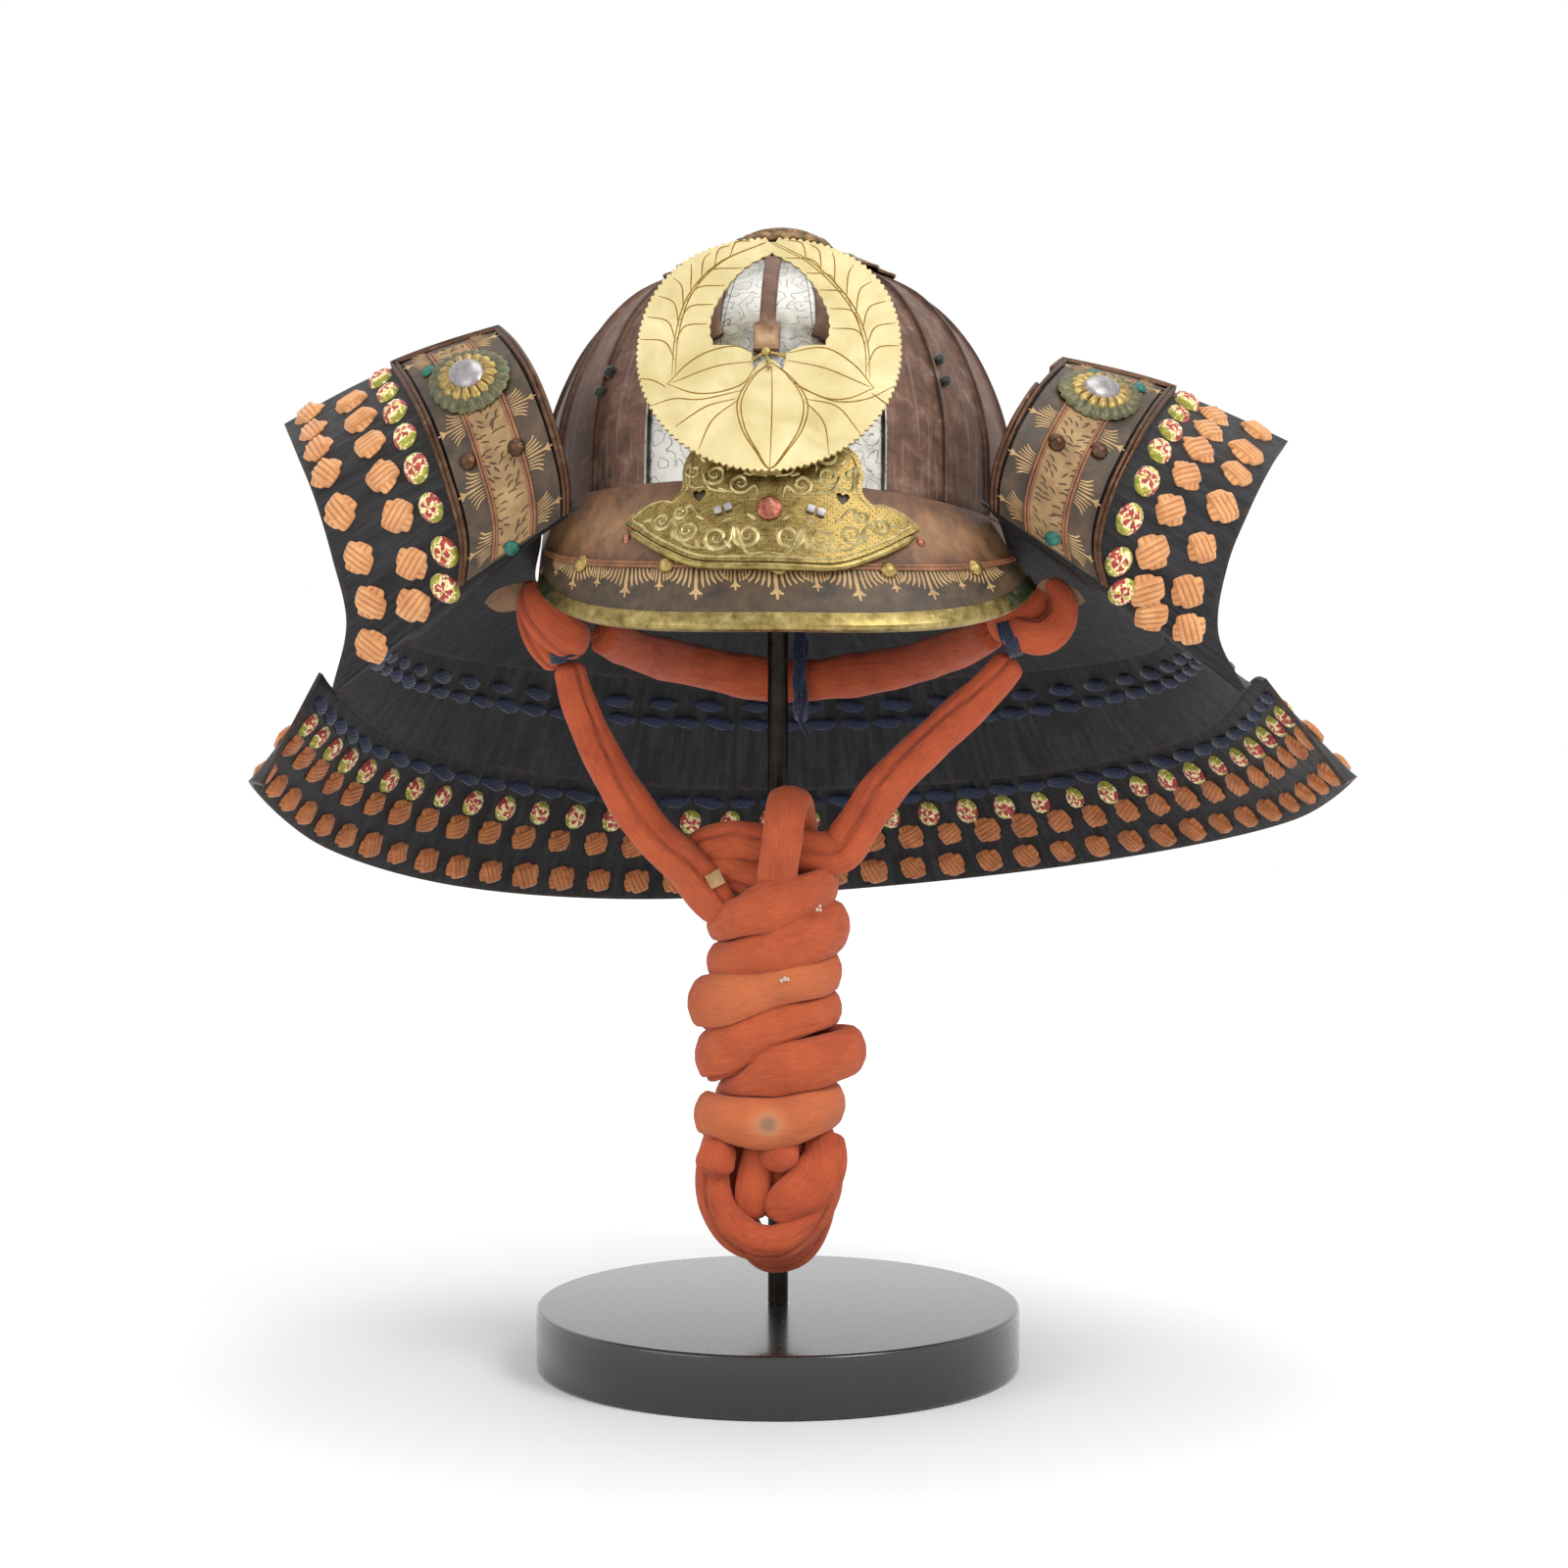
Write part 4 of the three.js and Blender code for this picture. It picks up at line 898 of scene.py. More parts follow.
def shoulder(z):
    """Outer half width of a side strip: a narrow foot that steps out to a shoulder and tapers upwards."""
    return np.interp(z, [0, 69, 75, 82, 98, 200], [0.8, 0.8, 11, 7.6, 5.6, 4.6])


def straight(z):
    """Inner half width of a side strip: the shoulder's, kept to 5 mm."""
    return np.minimum(shoulder(z), 5)


for name, form in (
    ("centre", strip(0, middle_half, middle_half)),
    ("right", strip(17, shoulder, straight)),
    ("left", strip(-17, straight, shoulder)),
):
    piece(f"strip_{name}", form, [RUSSET], [f"front_strip_{name}"])


# ================================================================ peak
PEAK_SPAN = np.radians(60)
PEAK_TH, RIM_H = 1.6, 7
PIPE_AT = 0.58


def peak_surface(u, v):
    """From the joint on the bowl, v 0, straight to the free edge, v 1; u runs left to right.  The joint is
    part of an ellipse that sinks to the right.  The edge is part of a wider one, further forward, and it
    rises with a power of the angle."""
    angle = blend_to(-PEAK_SPAN, PEAK_SPAN, u)
    joint = np.stack([118.8 * np.sin(angle), -132.8 * np.cos(angle), 1 - 3.4 * np.sin(angle)], -1)
    wide = angle * 1.25
    edge = np.stack([8.5 + 121 * np.sin(wide), -45 - 112 * np.cos(wide),
                     -72 + 34 * (np.abs(wide) / np.radians(75)) ** 2.6], -1)
    return blend_to(joint, edge, np.asarray(v, float)[..., None])


def thick(surface, side):
    """A surface(u, v) lifted by off along its normal, the cross product of its slopes."""
    def place(u, v, off):
        step = 0.004
        du = surface(np.clip(u + step, 0, 1), v) - surface(np.clip(u - step, 0, 1), v)
        dv = surface(u, np.clip(v + step, 0, 1)) - surface(u, np.clip(v - step, 0, 1))
        normal = unit(np.cross(du, dv)) * side
        return surface(u, v) + normal * np.asarray(off, float)[..., None]
    return place


peak_leaf = thick(peak_surface, -1)


def grids(nu, nv):
    """Even stations of u and v from 0 to 1, as two arrays."""
    return np.meshgrid(np.linspace(0, 1, nu), np.linspace(0, 1, nv), indexing="ij")


def peak_sheet():
    """The leather: two leaves of the peak's surface a thickness apart, dark below the piping, rubbed
    pale above it."""
    nu, nv, reach = 121, 40, 0.984
    u, v = grids(nu, nv)
    v = v * reach
    front = on_helmet(peak_leaf(u, v, 0 * u))
    back = on_helmet(peak_leaf(u, v, 0 * u - PEAK_TH))
    border = np.broadcast_to((v[:-1, :-1] > PIPE_AT).astype(int), (nu - 1, nv - 1)).reshape(-1)
    wear = 0.8 * (1 - smooth(np.abs(v - 0.3), 0.0, 0.35)) + 0 * u
    return slab(front, back, mat=border, edge=1, tone=wear, size=(260, 70))


piece("peak_leather", peak_sheet(), [RUST_TAN, DARK_HIDE], ["peak"])


def peak_hook():
    """The brass edge: a hook in section, (down, out), carried along the free edge, green at both ends."""
    hook = rounded([(-RIM_H, 0.35), (-RIM_H, 1.5), (0, 1.7), (1.4, 0), (1.4, -2.6), (-4, -3.2), (-4, -2),
                    (-0.6, -2), (-0.6, 0.35), (-RIM_H, 0.35)], 0.45, 4)
    u = np.linspace(0, 1, 120)
    edge = peak_surface(u, 1 + 0 * u)
    down = unit(edge - peak_surface(u, 0 * u))
    out = peak_leaf(u, 1 + 0 * u, 1 + 0 * u) - peak_leaf(u, 1 + 0 * u, 0 * u)
    ring = on_helmet(edge[:, None] + down[:, None] * hook[None, :, :1] + out[:, None] * hook[None, :, 1:])
    green = 0.5 * smooth(np.abs(u - 0.5), 0.32, 0.42)[:, None] + 0 * ring[..., 0]
    return join(grid(ring, close_v=True, tone=green), rim_of(ring[0]), rim_of(ring[-1]))


piece("peak_edge", peak_hook(), [BRASS], ["peak_rim"])


# ================================================================ crest holder and crest
def leaning(at, lean, roll=0.0):
    """A plane through a place, leaning back and rolled by degrees: x right, h up it, off in front."""
    a, b = np.radians(lean), np.radians(roll)

    def place(x, h, off):
        x, h, off = np.broadcast_arrays(*(np.asarray(k, float) for k in (x, h, off)))
        x, y, z = x * np.cos(b) - h * np.sin(b), -off, x * np.sin(b) + h * np.cos(b)
        y, z = y * np.cos(a) + z * np.sin(a), -y * np.sin(a) + z * np.cos(a)
        return np.stack([x + at[0], y + at[1], z + at[2]], -1)
    return place


holder_plane = leaning((4, -143, -10), 16, -1.3)
HOLDER_TH, HOLDER_BEND_R = 1.6, 105


def holder_at(x, h, off):
    """The holder's face: its plane bent back to a radius."""
    return on_helmet(holder_plane(x, h, off - np.asarray(x, float) ** 2 / (2 * HOLDER_BEND_R)))


HOLDER_TOP = [(0, 33), (10, 35), (20, 31), (30, 33), (38, 28), (41.5, 20), (42, 8), (48, 2.5), (54, 4.5),
              (61, 3), (68, -1.2)]
HOLDER_BOTTOM = [(0, -32), (16, -31.6), (33, -29), (51, -18), (68, -2.8)]
HEART = [(0, -3.6), (2.6, -0.6), (2.9, 1.6), (1.5, 2.6), (0, 1.4), (-1.5, 2.6), (-2.9, 1.6), (-2.6, -0.6)]
RIVET_DOWN = 5


def heart(side, size=1.0):
    """The outline of one heart cut, left or right of the middle."""
    return bend([*HEART, HEART[0]], 25)[:-1] * size + (side * 33, 4)


def holder_outline():
    """The holder's edge: its right half from the top down, then that half mirrored."""
    right = np.concatenate([bend(HOLDER_TOP[:4], 12), bend(HOLDER_TOP[3:8], 16)[1:],
                            bend(HOLDER_TOP[7:], 12)[1:]])
    under = bend(HOLDER_BOTTOM, 40)
    half = np.concatenate([right, under[::-1][:-1]])
    left = half[::-1] * (-1, 1)
    return np.concatenate([half, under[:1], left[:-1]])


def holder_plate():
    """The bent plate with its two heart cuts, green towards its left end."""
    plate = cut_plate(holder_outline(), [heart(-1), heart(1)], 2.6, holder_at, HOLDER_TH)
    plate["tone"] = 0.4 * smooth(-plate["points"][:, 0], 26, 60)
    return plate


def holder_edge():
    """A round bar along the holder's lower edge, thinner at both ends."""
    x = np.linspace(-67, 67, 90)
    low = bend(HOLDER_BOTTOM, 60)
    h = np.interp(np.abs(x), low[:, 0], low[:, 1]) - 2.4
    path = holder_at(x, h, 0 * x - 0.6)
    return tube(path, 1.9 * np.minimum(1, 0.25 + smooth(67.5 - np.abs(x), 0, 6)), 14,
                up=holder_at(x, h, 0 * x + 1) - path)


rivet = rounded([(0, 2.9), (2.6, 2.7), (4.8, 2.3), (6.1, 1.2), (6.1, 0.2), (0, 0.2)], 0.6)
piece("holder_plate", holder_plate(), [HOLDER_BRASS], ["crest_holder"])
piece("holder_edge", holder_edge(), [BRASS], ["crest_holder_rim"])
piece("holder_rivet", turned(rivet, 40, lambda x, y, z: holder_at(x, y - RIVET_DOWN, z)), [PINK_COPPER],
      ["crest_holder_rivet"])

crest_plane = leaning((2, -133, 61), 15)
CREST_R, CREST_TH, CREST_TEETH = 61, 1.6, 116


def crest_at(x, h, off):
    """The crest's face: x right and h up from its middle, off in front."""
    return on_helmet(crest_plane(x, h, off))


def crest_outline():
    """A round edge of shallow cusps, fuller at the upper left and right, notched at top and bottom."""
    a = PI / 2 + PI * (np.arange(CREST_TEETH * 6) + 0.5) / (CREST_TEETH * 3)
    full = np.where(np.sin(a) > 0, 2.4 * np.sin(2 * a) ** 2, 0)
    notch = 3 * np.maximum(0, np.maximum(1 - np.abs(a - PI / 2) / 0.05, 1 - np.abs(a - 2.5 * PI) / 0.05))
    cusp = 1.5 * np.abs(np.cos(CREST_TEETH / 2 * (a - PI / 2))) - 1.0
    r = CREST_R + full - notch + cusp
    return np.stack([r * np.cos(a), r * np.sin(a)], -1)


OPENING_LEAF = [(0, 53.2), (12, 45.5), (21.5, 33.5), (27, 21), (27.8, 11), (26, 4.2)]
OPENING_PETALS = [(26, 4.2), (15.5, 3.6), (8, 0), (7.4, -5), (6.6, -9.8), (4.2, -5.2), (0, -2.6)]


def crest_opening():
    """The hole at the middle: up the inner side of a leaf, whose edge is cut in twelve small bows, down
    past the petals, then the same mirrored."""
    bows, stations = 12, 72
    leaf = bend(OPENING_LEAF, stations)
    along = np.gradient(leaf, axis=0)
    side = unit(np.stack([-along[:, 1], along[:, 0]], -1))
    leaf = leaf + side * (0.35 - 0.8 * np.abs(np.sin(PI * np.linspace(0, bows, stations))))[:, None]
    petals = np.concatenate([bend(OPENING_PETALS[:3], 12), bend(OPENING_PETALS[2:5], 8)[1:],
                             bend(OPENING_PETALS[4:], 8)[1:]])
    half = np.concatenate([leaf, petals[1:]])
    return np.concatenate([half, (half[1:-1] * (-1, 1))[::-1]])


crest_leaves = cut_plate(crest_outline(), [crest_opening()], 3.2, crest_at, CREST_TH)
piece("crest_leaves", crest_leaves, [GILT], ["crest"])


def tang():
    """The strap behind the crest, bent forward to stand on the holder."""
    rows = []
    for x in np.linspace(-7, 7, 6):
        foot = [on_helmet(holder_plane(4, h, 0.5) * (0, 1, 1) + (2 + x, 0, 0)) for h in (12, 24)]
        rows.append([crest_at(x, -16, -CREST_TH - 0.5), crest_at(x, -55, -CREST_TH - 0.5), foot[0], foot[1],
                     crest_at(x, -36, -CREST_TH - 3), crest_at(x, -16, -CREST_TH - 3)])
    ring = np.array(rows)
    return join(grid(ring, close_v=True), rim_of(ring[0]), rim_of(ring[-1]))


piece("tang", tang(), [BRASS], ["crest_tang"])


# ================================================================ neck guard
# edges of the lames: half widths at the left and right, how far behind, then the height at the rear, how
# it grows to the sides, leans to the right and rolls
LAME_TH = 2
EDGE_1 = dict(left=179, right=189, behind=180, rear=-38, side=-13, lean=1.5, roll=0)
EDGE_2 = dict(left=216, right=230, behind=222, rear=-90, side=16, lean=3, roll=1)
EDGE_3 = dict(left=257, right=281, behind=262, rear=-140.5, side=22, lean=2.5, roll=9.5)
TOP_1 = dict(left=119, right=119, behind=133, rear=-19, side=0, lean=0, roll=0)


def lame_edge(edge, out, lift, left, right):
    """An edge round the rear: half widths left and right, its height rising with a power of the way
    round to each side; the front ends run on to the given points."""
    t = np.arange(9) / 4 - 1
    a = PI / 2 * t
    half = np.where(t < 0, edge["left"], edge["right"]) + out
    z = (edge["rear"] + lift + edge["side"] * np.abs(t) ** 2.4 + edge["lean"] * t
         + edge["roll"] * np.sin(PI * t))
    round_rear = np.stack([half * np.sin(a), (edge["behind"] + out) * np.cos(a), z], -1)
    return curve(np.concatenate([left, round_rear, right]))


def lame(upper, lower):
    """A lame's wall: straight from its upper to its lower edge, lifted along its normal."""
    return thick(lambda u, v: blend_to(upper(u), lower(u), np.asarray(v, float)[..., None]), -1)


LAMES = {
    1: lame(lame_edge(TOP_1, 0, 0, [(-97, -91, -4), (-108, -64, 4), (-114, -32, -8)],
                      [(113, -32, -8), (108, -62, 1), (105, -91, -3)]),
            lame_edge(EDGE_1, 0, 0, [(-170, -56, -59), (-177, -30, -58)],
                      [(188, -30, -50), (180, -56, -54)])),
    2: lame(lame_edge(EDGE_1, 2.8, 4, [(-174, -53, -58), (-180.5, -30, -54)],
                      [(191.5, -30, -46), (184, -53, -52)]),
            lame_edge(EDGE_2, 0, 0, [(-208, -40, -80), (-213, -20, -78)],
                      [(229, -20, -75), (224, -40, -80)])),
    3: lame(lame_edge(EDGE_2, 3, 4, [(-222, -14, -69)], [(237, -13, -70)]),
            lame_edge(EDGE_3, 0, 0, [(-249, -15, -124)], [(275, -15, -121)])),
}


def lame_sheet(place):
    """The lame's wall with a slightly thickened lower edge, brown along its edges."""
    u, v = grids(301, 24)
    bead = 0.5 * smooth(v, 0.94, 0.99)
    front = on_helmet(place(u, v, 0 * u - bead))
    back = on_helmet(place(u, v, LAME_TH + bead))
    edge = np.maximum(smooth(v, 0.93, 1.0), np.maximum(smooth(0.012 - u, 0, 0.012), smooth(u, 0.988, 1.0)))
    return slab(front, back, tone=0.3 * edge, size=(900, 90))


for k, place in LAMES.items():
    piece(f"lame_{k}", lame_sheet(place), [LACQUER], [f"neck_lame_{k}"])


# ================================================================ turn-backs
TURN_TH = 2
TURN_BACKS = {
    "left": dict(
        side=-1, rosette=0.72,
        inner=[(-93, -97, -9), (-93, -108, 9), (-99, -111, 32), (-108, -101, 54), (-120, -79, 75),
               (-133, -50, 92)],
        outer=[(-211, -43, -83), (-202, -62, -53), (-208, -72, -24), (-217, -71, 4), (-230, -49, 31),
               (-243, -12, 55)]),
    "right": dict(
        side=1, rosette=0.76,
        inner=[(105, -96, -6), (106, -108, 10), (112, -111, 28), (121, -101, 46), (130, -79, 62),
               (138, -50, 76)],
        outer=[(227, -43, -83), (212, -62, -57), (216, -72, -26), (226, -69, 0), (237, -47, 25),
               (248, -12, 47)]),
}
PANEL_FROM, PANEL_TO = 0.035, 0.42
PANEL_FOOT, PANEL_OFF = 0.03, 2.4


class TurnBack:
    """The folded front end of the neck guard: f from inner to outer edge, t from the fold to the top."""

    def __init__(self, inner, outer, side, rosette):
        self.inner, self.outer, self.rosette = curve(inner), curve(outer), rosette
        self.side = side
        self.place = thick(self.surface, side)

    def surface(self, f, t):
        """Straight across between the edges, swelling forward at the fold and up at the top."""
        p = blend_to(self.inner(t), self.outer(t), np.asarray(f, float)[..., None])
        swell = np.sin(PI * f)
        p[..., 1] -= 8 * swell * (1 - t)
        p[..., 2] += 5 * swell * t * t
        return p

    def width(self, t):
        """The distance between the edges."""
        return np.linalg.norm(self.inner(t) - self.outer(t), axis=-1)

    def point(self, f, t, off):
        """A place over the face, in the row's frame."""
        return on_helmet(self.place(f, t, off))

    @staticmethod
    def panel(across, t):
        """f on the leather panel, from 0 at its inner to 1 at its outer side."""
        return blend_to(PANEL_FROM, PANEL_TO + 0.03 * t, across)


turn_backs = {name: TurnBack(**values) for name, values in TURN_BACKS.items()}


def turn_sheet(turn):
    """The lacquered wall, its two faces a thickness apart, brown along its edges."""
    t, f = grids(81, 56)
    front, back = turn.point(f, t, 0 * f), turn.point(f, t, 0 * f - TURN_TH)
    edge = np.maximum.reduce([smooth(f, 0.96, 1.0), smooth(0.03 - f, 0, 0.03), smooth(t, 0.975, 1.0)])
    return slab(front, back, tone=0.28 * edge, size=(150, 120))


def panel_sheet(turn):
    """The leather panel, bulging by the sine of the way across it."""
    t, across = grids(81, 24)
    t = PANEL_FOOT + 0.94 * t
    f = turn.panel(across, t)
    bulge = 0.5 * np.sin(PI * across)
    return slab(turn.point(f, t, PANEL_OFF + bulge), turn.point(f, t, 0.8 + 0 * f), size=(140, 50))


def panel_rail(turn):
    """Two round bars side by side down both long edges of the panel and across its top."""
    bars = []
    for aside, top in ((2.4, 0.985), (4.6, 0.999)):
        up = np.linspace(PANEL_FOOT, top - 0.02, 60)
        f_in = turn.panel(0, up) - aside / turn.width(up)
        f_out = turn.panel(1, up) + aside / turn.width(up)
        f = np.concatenate([f_in, np.linspace(f_in[-1], f_out[-1], 14), f_out[::-1]])
        t = np.concatenate([up, np.full(14, top), up[::-1]])
        path = turn.point(f, t, PANEL_OFF + 0 * t)
        bars.append(tube(path, 1.25, 12, up=turn.point(f, t, PANEL_OFF + 1 + 0 * t) - path))
    return join(*bars)


for name, turn in turn_backs.items():
    piece(f"turnback_{name}_wall", turn_sheet(turn), [LACQUER], [f"turnback_{name}"])
    piece(f"turnback_{name}_leather", panel_sheet(turn), [DARK_HIDE], [f"turnback_panel_{name}"])
    piece(f"turnback_{name}_rail", panel_rail(turn), [COPPER], [f"turnback_rim_{name}"])


# ---- rosettes
def petal_ring(count, r_in, r_out, height, tone):
    """Round petals standing in a ring: each a dome long outwards, cut from the next by a groove that the
    given tone darkens as painted shade.
    """
    a, r = np.meshgrid(np.linspace(0, 2 * PI, count * 12, endpoint=False), np.linspace(0, 1, 10),
                       indexing="ij")
    crest = np.abs(np.cos(count / 2 * a))
    reach = blend_to(r_in, r_out - 1.6 * (1 - crest) ** 0.8, r)
    lift = height * (np.sin(PI * np.clip(r * 0.86 + 0.14, 0, 1)) ** 0.6) * (0.35 + 0.65 * crest ** 0.6)
    # painted shade: the tone is laid in the grooves between the petals
    return reach * np.cos(a), reach * np.sin(a), lift, tone * (1 - smooth(crest, 0.0, 0.35))


ROSETTE_TALL, ROSETTE_AT = 142, 0.78


def rosette(turn):
    """A notched plate, two rings of petals and a dome on the panel's middle line."""
    def spot(x, y, off):
        """A place over the rosette's middle, in mm."""
        f = turn.panel(0.5, ROSETTE_AT) + x / turn.width(ROSETTE_AT)
        return turn.point(f, turn.rosette + y / ROSETTE_TALL, off)

    def notches(a, r, _):
        """Cuts in the rim, between the cosine's tops."""
        return -0.9 * (1 - np.abs(np.cos(12 * a))) * smooth(r, 16, 21), 0 * r

    plate = turned(rounded([(0, 6.4), (14, 6.4), (19.5, 5.6), (21, 4.4), (20.6, 3.8), (0, 3.8)], 0.5), 288,
                   spot, notches)
    rings = []
    for count, r_in, r_out, base, height, mat in (
        (24, 12.5, 20.6, 5.0, 1.8, 0),
        (16, 7.5, 15.4, 6.2, 2.2, 1),
    ):
        # the tone of -0.7 paints shade in the grooves between the petals
        x, y, lift, tone = petal_ring(count, r_in, r_out, height, -0.7)
        both = np.concatenate([spot(x, y, base + lift), spot(x, y, base - 0.6 + 0 * lift)[:, ::-1]], 1)
        tone = np.concatenate([tone, 0 * tone], 1)
        rings.append(grid(both, close_u=True, close_v=True, mat=mat, tone=tone))
    dome = turned(rounded([(0, 11.2), (4.5, 10.9), (8, 9.2), (9.2, 7.4), (9.2, 6), (0, 6)], 1.2), 64, spot,
                  mat=2)
    return join(plate, *rings, dome)


for name, turn in turn_backs.items():
    piece(f"rosette_{name}_petals", rosette(turn), [GREEN_COPPER, OLD_GILT, DOME_SILVER],
          [f"rosette_{name}"])


# ================================================================ engraving and dyed ornament
def scaled(surface, wide, tall):
    """A surface(u, v, off) measured in mm over the given width and height."""
    return lambda x, y, off: surface(x / wide, y / tall, off)


def drawn(place, curves, width, rise, count):
    """Ribs through a few points each, tapering to both ends."""
    t = np.linspace(0, 1, count)
    profile = width * (0.25 + 0.75 * np.sin(PI * np.clip(t, 0.04, 0.96)) ** 0.5)
    return ribbons(place, np.stack([bend(c, count) for c in curves]), profile[None], rise)


def mirrored(curves):
    """The curves and the same ones on the other side of the middle line."""
    return [*curves, *(np.asarray(c) * (-1, 1) for c in curves)]


PETAL_LEFT = [(-5.9, -0.5), (-15.1, 3.4), (-27.7, 0.8), (-37.5, -5.7), (-46.4, -16.4), (-34, -21),
              (-22.1, -20.4), (-10.9, -15.4), (-6.2, -7.2)]
PETAL_RIGHT = [(8.6, 0), (25.8, 2.6), (39.5, -6.2), (48.8, -18.4), (37, -23.8), (26.8, -23.6),
               (10.8, -14.4), (7, -9.2)]
PETAL_MIDDLE = [(1.5, -5.1), (-6, -11.8), (-12, -25.6), (-10, -39), (-4, -51), (2.0, -60), (9.5, -50),
                (15.4, -38), (16.5, -25.6), (9.8, -12.8), (1.5, -5.1)]
MIDRIB_LEFT = [(-3.5, 58.5), (-24.2, 47.8), (-37.4, 31.1), (-42.8, 10.3), (-43.8, -11)]
MIDRIB_RIGHT = [(0.5, 58.5), (19.3, 46.7), (37.1, 25.8), (44.7, 5.2), (46.1, -14)]


def leaf_veins(midrib, side):
    """Veins that leave a leaf's midrib upwards and bow out to its edges, eight outside and six inside."""
    rib = bend(midrib, 60)
    opening = bend(OPENING_LEAF, 60)
    curves = []
    for k in range(8):
        start = rib[12 + 6 * k]
        a = np.arctan2(start[1], start[0] * side) + 0.2
        end = 60.2 * np.array([side * np.cos(a), np.sin(a)])
        knee = start + (end - start) * (0.3, 0.62) + (0, 2.6)
        curves.append([start, knee, end])
    for k in range(6):
        start = rib[12 + 7 * k]
        h = start[1] + 8.5
        inner_x = np.interp(h, opening[::-1, 1], opening[::-1, 0]) + 1.2
        end = np.array([side * inner_x, h])
        knee = start + (end - start) * (0.28, 0.66) + (0, 1.6)
        if h < 51:
            curves.append([start, knee, end])
    return curves


def crest_lines():
    """Engraved lines: doubled midribs, veins, petal outlines, fans of lines on the petals and their
    middle lines."""
    shift = np.array([0.75, 0.2])
    double = [np.asarray(m) + shift * k for m in (MIDRIB_LEFT, MIDRIB_RIGHT) for k in (-1, 1)]
    around = np.array(PETAL_MIDDLE)
    wider = (around - (2, -30)) * (1.13, 1.0) + (2, -30)
    sides = [PETAL_LEFT[:5], PETAL_LEFT[4:], PETAL_RIGHT[:4], PETAL_RIGHT[3:]]
    fans = [
        [(-11.3, -19.5), (-31.6, -24.4), (-43, -24), (-54.5, -28)], [(-15, -24), (-28, -28), (-42, -38.5)],
        [(-14, -25), (-25, -35), (-31, -50.5)], [(-47, -18), (-53, -14.5), (-59.5, -13.5)],
        [(13, -17.5), (32, -25.4), (46, -24), (58, -17.5)], [(17, -24), (32, -28), (43, -42)],
        [(17, -25), (26, -36), (29, -53)], [(48, -21), (54, -26), (56, -27)],
    ]
    middles = [[(1.6, -8), (2.2, -30), (2, -59)], [(-8, -4.5), (-24, -7), (-44, -15.5)],
               [(9, -4), (26, -8), (47, -17.8)]]
    return join(*(drawn(crest_at, lines, width, 0.1, count) for lines, width, count in (
        (double, 0.62, 60), (leaf_veins(MIDRIB_LEFT, -1), 0.62, 22), (leaf_veins(MIDRIB_RIGHT, 1), 0.62, 22),
        (sides, 0.7, 40), ([around, wider], 0.75, 90), (fans, 0.65, 24), (middles, 0.6, 24))))


piece("crest_engraving", crest_lines(), [GILT_LINE])


def stamens():
    """Three tiny bars that meet at a knob where the petals spring."""
    x0, h0 = -1.2, -0.6
    knob = rounded([(0, 4.2), (1.7, 3.6), (2.2, 2.4), (1.6, 0.6), (0, 0.6)], 0.5)
    parts = [turned(knob, 20, lambda x, y, z: crest_at(x + x0, y + h0, z))]
    t = np.linspace(0, 1, 14)
    out = crest_at(0 * t, 0 * t, 1 + 0 * t) - crest_at(0 * t, 0 * t, 0 * t)
    for x, h in ((-7.4, -4.6), (8.2, -2.6), (0.6, -8.4)):
        path = crest_at(blend_to(x0, x, t), blend_to(h0, h, t), 1.5 + 0.5 * np.sin(PI * t))
        parts.append(tube(path, 0.75 + 0.35 * (t > 0.8), 10, up=out))
    return join(*parts)


piece("crest_stamens", stamens(), [OLD_GILT])


def scroll(x, h, radius, turns, side, start, tail):
    """A spiral line whose radius falls evenly with its angle, led in by a tail."""
    t = np.linspace(0, 1, 14)
    a = start + side * 2 * PI * turns * 1.35 * t
    r = 1.12 * radius * (1 - 0.86 * t)
    return [*tail, *zip(x + r * np.cos(a), h + r * np.sin(a))]


# the scrolls right of the middle: centre, radius, turns, which way, first angle, and two points of stem
SCROLLS = [
    (9.5, -18.5, 6.2, 1.2, -1, 0.6, [(2, -27.5), (9, -27.5)]),
    (24, -19, 6.0, 1.2, 1, 3.4, [(12, -26), (16, -14)]),
    (38, -13.5, 5.2, 1.2, -1, 0.4, [(28, -24), (38, -21)]),
    (50.5, -6.2, 4.2, 1.2, 1, 3.2, [(41, -16), (44, -9)]),
    (14, 8.5, 4.8, 1.15, 1, 3.6, [(5.5, 1), (7, 7)]),
    (26, 14, 5.0, 1.2, -1, 0.2, [(17, 4), (28, 7)]),
    (8, 22, 5.4, 1.2, -1, 0.8, [(2, 12), (9, 14)]),
    (25, 25, 4.6, 1.15, 1, 3.0, [(15, 17), (18, 26)]),
    (36.5, 17, 3.4, 1.1, -1, 1.2, [(31, 8), (37, 9)]),
    (42, -3.5, 3.2, 1.1, 1, 2.6, [(33, -6), (37, -1)]),
]
TUFTS = [
    (16.5, -25, 3.5, 4), (31, -24, 2.4, 4.5), (44, -16.5, 1, 4), (17, -9.5, 4.5, -1.5), (30, -9, 4, 2.5),
    (6, -10.5, 4, 3), (20, 4.5, 4.2, 2), (9, 12.5, 4, 1), (19, 20, 1, -4.5), (31, 21, 2.5, 3),
    (3.6, 27, 3.2, 3.4), (55, -5, 4, 0.5),
]


